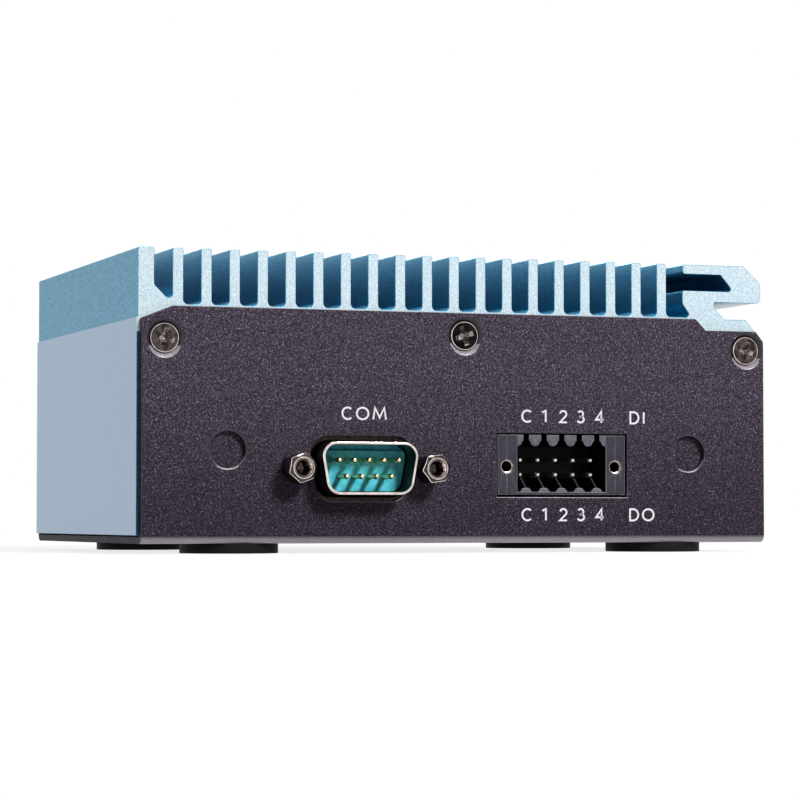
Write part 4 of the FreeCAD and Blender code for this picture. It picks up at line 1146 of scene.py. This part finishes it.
def jack_part(reach, y):
    """Painted highlights on edge, ring and funnel; a painted dark reflection on flats, chamfer,
    groove and bore.
    """
    deep = y + JACK_REACH
    if reach < 1.5:
        return 1 if deep < 0.58 else 0
    edge = abs(deep - (reach - JACK_FACE) * JACK_CONE - 0.078) < 0.02 and reach > 2.2
    return 1 if edge or deep < 0.005 or reach < 1.61 else 0


parted(jacks, jack_places, jack_part, bright_nickel)
published(jacks, 28, "bright_nickel", "com_jack_screws")

# %% [markdown]
# ## The ten-way header
# The header is moulded from black polyamide: five key slots at the top, five low ribs below and ten
# square pins in a deep cavity. Its front faces are paler than the cavity, which painted shade turns
# near-black, and the keys paler still; the ribs' crests carry a painted highlight, and every
# moulded edge is just blunt enough to catch a line of light, which is drawn as a painted highlight.
# One side of each mould seam stays sharp, so that the seam is a single thin line.

# %% Housing
HEADER_X = 79.53 - HALF
HEADER_FRONT = 0.1
HEADER_MOUTH = 8.775
HEADER_FLOOR = 9.23
HEADER_STEP = 3.5
NUT_SPREAD = 10.72


def on_seam(edge):
    """Whether an edge is the right-hand side of a mould seam through a nut."""
    return all(abs(abs(v.co.x - HEADER_X) - NUT_SPREAD) < 0.08
               and (v.co.x - HEADER_X) % NUT_SPREAD < 1 for v in edge.verts)


housing = eased("header_housing", "io_header_housing",
                [(0.07, lambda e: between(e, 1, HEADER_FRONT - 0.01, HEADER_FRONT + 0.15)
                  and not on_seam(e))], 40)
split(housing, lambda f: f.normal.y < -0.95 and f.calc_center_median().y < HEADER_FRONT + 0.01,
      [((HEADER_X + side * HEADER_MOUTH, 0, 0), (1, 0, 0)) for side in (-1, 1)]
      + [((0, 0, HEADER_FLOOR), (0, 0, 1))])
print("housing:", len(housing.data.polygons), "faces")

# %% The housing's finishes
CREST_TOP = 12
CREST_HALF = 0.16


def housing_finish(x, y, z, normal):
    """Painted highlights on edges and rib crests, paler faces and keys; painted shade in the black
    cavity.
    """
    inner = abs(x - HEADER_X) < HEADER_MOUTH and z > HEADER_FLOOR
    if y < HEADER_FRONT + 0.3:
        if normal.y > -0.95:
            return polyamide_edge_highlight
        return paler_keys_and_crest_highlight if inner else polyamide_face
    beside = abs((x - HEADER_X + HEADER_STEP / 2) % HEADER_STEP - HEADER_STEP / 2)
    crest = inner and z < CREST_TOP and normal.z > 0.5 and beside < CREST_HALF
    return paler_keys_and_crest_highlight if crest else polyamide


painted(housing, (polyamide, polyamide_face, paler_keys_and_crest_highlight, polyamide_edge_highlight), housing_finish)
published(housing, 40, "black_polymer", "io_header_housing")

# %% Square pins
def square_pin(tail_y, drop):
    """Square pin with a pointed tip along Y, turned down at its tail, its corners eased."""
    half, cut = 0.5, 0.44
    outline = [(-half, -cut), (-cut, -half), (cut, -half), (half, -cut), (half, cut),
               (cut, half), (-cut, half), (-half, cut)]
    steps = ((0.44, 3.0), (0.52, 3.04), (0.94, 3.42), (1.0, 3.55), (1.0, tail_y - half))
    rings = [[(x * s, y, z * s) for x, z in outline] for s, y in steps]
    rings.append([(x, tail_y + z, z) for x, z in outline])
    rings.append([(x, tail_y + z, -drop) for x, z in outline])
    return meshed("square pin", skin(rings))


HEADER_ROWS = (12.45, 15.1)
HEADER_TAILS = (13.4, 15.9)
columns_x = [HEADER_X + (i - 2) * HEADER_STEP for i in range(5)]
for row, (z, tail_y) in enumerate(zip(HEADER_ROWS, HEADER_TAILS), 1):
    pins = set_out(f"header_pins_{row}", square_pin(tail_y, z - BOARD_FOOT),
                   [(x, 0, z, 0) for x in columns_x], tin)
    published(pins, 30, "tin_plate", "io_header_pins")

# %% Threaded nuts
NUT_Z = 13.85
NUT_CORE = 1.05
NUT_OUTER = 1.68
NUT_FRONT = 0.5
NUT_BACK = NUT_FRONT + 6.2
rings = [ring(radius, y, 40) for radius, y in (
    (NUT_OUTER, NUT_BACK), (NUT_OUTER, NUT_FRONT + 0.06), (NUT_OUTER - 0.06, NUT_FRONT),
    (1.3, NUT_FRONT), (0.98, NUT_FRONT + 0.11))]
rings += threaded(NUT_CORE, 1.2, NUT_FRONT + 0.2, NUT_BACK - 0.1, 0.5)
nut = meshed("nut", skin(rings))
nut_places = [(HEADER_X + side * NUT_SPREAD, 0, NUT_Z, 40 * side) for side in (-1, 1)]
# Painted highlight on each nut's front and funnel, painted shade in its threaded bore.
nuts = set_out("header_nuts", nut, nut_places, recess_highlight)
parted(nuts, nut_places, lambda reach, y: 1 if reach < 1.28 and y > 0.62 else 0,
       nickel_painted_shade)
published(nuts, 28, "bright_nickel", "io_header_nuts")

# %% [markdown]
# ## Feet
# Four round rubber feet are stuck under the tray. Punched from sheet, they are plain discs with
# a soft lower edge, so they are turned and set out by their nodes' places.

# %% Rubber feet
FOOT_RADIUS = 8.8
FOOT_HEIGHT = 1.75
foot_section = [(0, 0), (FOOT_RADIUS - 0.05, 0), (FOOT_RADIUS, 0.06),
                (FOOT_RADIUS, FOOT_HEIGHT - 0.12), (FOOT_RADIUS - 0.03, FOOT_HEIGHT - 0.04),
                (FOOT_RADIUS - 0.1, FOOT_HEIGHT), (0, FOOT_HEIGHT)]
foot_nodes = [name for name in frame["nodes"] if name.startswith("foot_")]
foot = meshed("foot", turned(foot_section, 96))
foot.data.transform(Matrix.Rotation(-math.pi / 2, 4, "X"))
spots = [(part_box(name)[0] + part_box(name)[1]) / 2 for name in foot_nodes]
feet = set_out("rubber_feet", foot, [(s.x / MM, (s.y - front) / MM, 0, 0) for s in spots],
               rubber)
published(feet, 40, "foot_rubber", *foot_nodes)

# %% [markdown]
# ## Print
# The marks beside the ports are pad-printed in white. They are generic port marks in a plain
# geometric letter: strokes of one width along lines and arcs, laid 0.03 mm proud of the coat.

# %% Strokes and glyphs
STROKE = 0.345
CAP = 2.42
INK = 0.03


def arc(x, z, rx, rz, start, end, steps=18):
    """Points along part of an ellipse between two angles in degrees."""
    angles = [math.radians(start + (end - start) * k / steps) for k in range(steps + 1)]
    return [(x + rx * math.cos(a), z + rz * math.sin(a)) for a in angles]


def glyph(mark, wide):
    """Strokes of a mark inside its width and the cap height: (points, closed) pairs."""
    w, h = wide - STROKE, CAP - STROKE
    shapes = {
        "O": [(arc(w / 2, h / 2, w / 2, h / 2, 0, 340), True)],
        "C": [(arc(w * 0.565, h / 2, w * 0.565, h / 2, 48, 312), False)],
        "M": [([(0, 0), (w * 0.13, h), (w * 0.5, h * 0.17), (w * 0.87, h), (w, 0)], False)],
        "D": [([(0, 0), (0, h)] + arc(w * 0.36, h / 2, w * 0.64, h / 2, 90, -90), True)],
        "I": [([(0, 0), (0, h)], False)],
        "1": [([(0, h * 0.84), (w * 0.94, h), (w, h), (w, 0)], False)],
        "2": [(arc(w * 0.48, h * 0.71, w * 0.46, h * 0.29, 165, -38) + [(0, 0), (w, 0)], False)],
        "3": [(arc(w * 0.48, h * 0.765, w * 0.4, h * 0.235, 150, -90)
               + arc(w * 0.48, h * 0.28, w * 0.52, h * 0.28, 88, -155), False)],
        "4": [([(w * 0.72, 0), (w * 0.72, h), (0, h * 0.27), (w, h * 0.27)], False)],
    }
    return shapes[mark]


def ribbon(bm, points, closed, x0, z0):
    """Slab of one width along a line of points, mitred at its corners."""
    count = len(points)
    sides = []
    for i, (x, z) in enumerate(points):
        here = Vector((x, z))
        back = here - Vector(points[i - 1]) if closed or i else None
        ahead = Vector(points[(i + 1) % count]) - here if closed or i < count - 1 else None
        back, ahead = (back or ahead).normalized(), (ahead or back).normalized()
        across = Vector((-(back + ahead).y, (back + ahead).x)).normalized()
        reach = STROKE / 2 / max(0.45, across.dot(Vector((-back.y, back.x))))
        sides.append((here + across * reach, here - across * reach))
    rows = []
    for pair in sides:
        rows.append([bm.verts.new((x0 + STROKE / 2 + p.x, y, z0 + STROKE / 2 + p.y))
                     for p, y in ((pair[0], -INK), (pair[1], -INK), (pair[1], 0.005),
                                  (pair[0], 0.005))])
    for i in range(count if closed else count - 1):
        one, two = rows[i], rows[(i + 1) % count]
        for k in range(4):
            bm.faces.new((one[k], one[(k + 1) % 4], two[(k + 1) % 4], two[k]))
    if not closed:
        bm.faces.new(rows[0])
        bm.faces.new(rows[-1])


print("every mark is", CAP, "mm high with strokes of", STROKE, "mm")

# %% Marks on the panel
numbers = [("C", 71.5, 2.13), ("1", 75.48, 1.0), ("2", 78.93, 1.72), ("3", 82.43, 1.62),
           ("4", 86.12, 1.84)]
marks = [("C", 36.98, 2.1, 21.9), ("O", 39.68, 2.55, 21.9), ("M", 42.8, 2.75, 21.9)]
marks += [(mark, x, wide, z) for z in (21.8, 3.9) for mark, x, wide in numbers]
marks += [("D", 93.05, 2.0, 21.75), ("I", 95.75, STROKE, 21.75), ("D", 92.93, 2.0, 3.88),
          ("O", 95.5, 2.55, 3.88)]
bm = bmesh.new()
for mark, x, wide, z in marks:
    for points, closed in glyph(mark, wide):
        ribbon(bm, points, closed, x - HALF, z)
print_marks = meshed("port_marks", bm, ink)
published(print_marks, 20, "coated_steel")

# %% [markdown]
# ## The rear sockets
# Shields of the rear sockets are folded from tinned sheet, so only their outside shines. Inside a
# network jack the plastic is black, two lamp windows sit beside its latch notch, and eight sprung
# contacts hang in the mouth like a comb. One bent wire is built and set out by its pitch.

# %% Shields, mouths and lamp windows
SOCKET_MIDDLES = (-34.5, -17.0)
SOCKET_FACE = 80.3
SOCKET_BACK = 59.4
MOUTH_HALF = 5.95
MOUTH_LOW, MOUTH_HIGH = 14.3, 24.8
WINDOW_DEPTH = 1.1
WINDOW_TOP = 16
# Dull silver sheet with wide, faint clouds in the tin.
shield = plated("tinned sheet of the shields", "#8f8c8a", "#a5a29f", 0.3, 4.0, 0.3)
for name in ("usb_shell", "display_port_shell"):
    frame["nodes"][name].data.materials[0] = shield


def socket_finish(x, y, z, normal):
    """Tinned shield outside, black plastic in the mouth, a lamp window at each lower corner."""
    side = min((x - middle for middle in SOCKET_MIDDLES), key=abs)
    sunk = y < SOCKET_FACE - 0.1
    if sunk and y > SOCKET_FACE - WINDOW_DEPTH and z < WINDOW_TOP:
        return lens_green if side < 0 else lens_amber
    inside = sunk and y > SOCKET_BACK and MOUTH_LOW < z < MOUTH_HIGH
    return polyamide if inside and abs(side) < MOUTH_HALF else shield


for number in (1, 2):
    jack = eased(f"network_jack_{number}", f"lan_jack_{number}", [])
    painted(jack, (shield, polyamide, lens_green, lens_amber), socket_finish)
    published(jack, 30, slot_of[f"lan_jack_{number}"], f"lan_jack_{number}")

# %% Contacts
CONTACT_PITCH = 1.02
path = [(67.4, 20.4), (70.2, 20.4), (71.2, 20.7), (78.2, 24.25), (78.6, 24.5)]
rings = [[(x, y, z + up) for x, up in ((-0.2, -0.12), (0.2, -0.12), (0.2, 0.12), (-0.2, 0.12))]
         for y, z in path]
wire = meshed("contact", skin(rings))
comb = set_out("network_contacts", wire,
               [(middle + (i - 3.5) * CONTACT_PITCH, 0, 0, 0)
                for middle in SOCKET_MIDDLES for i in range(8)], gold)
published(comb, 30, "contact_gold")
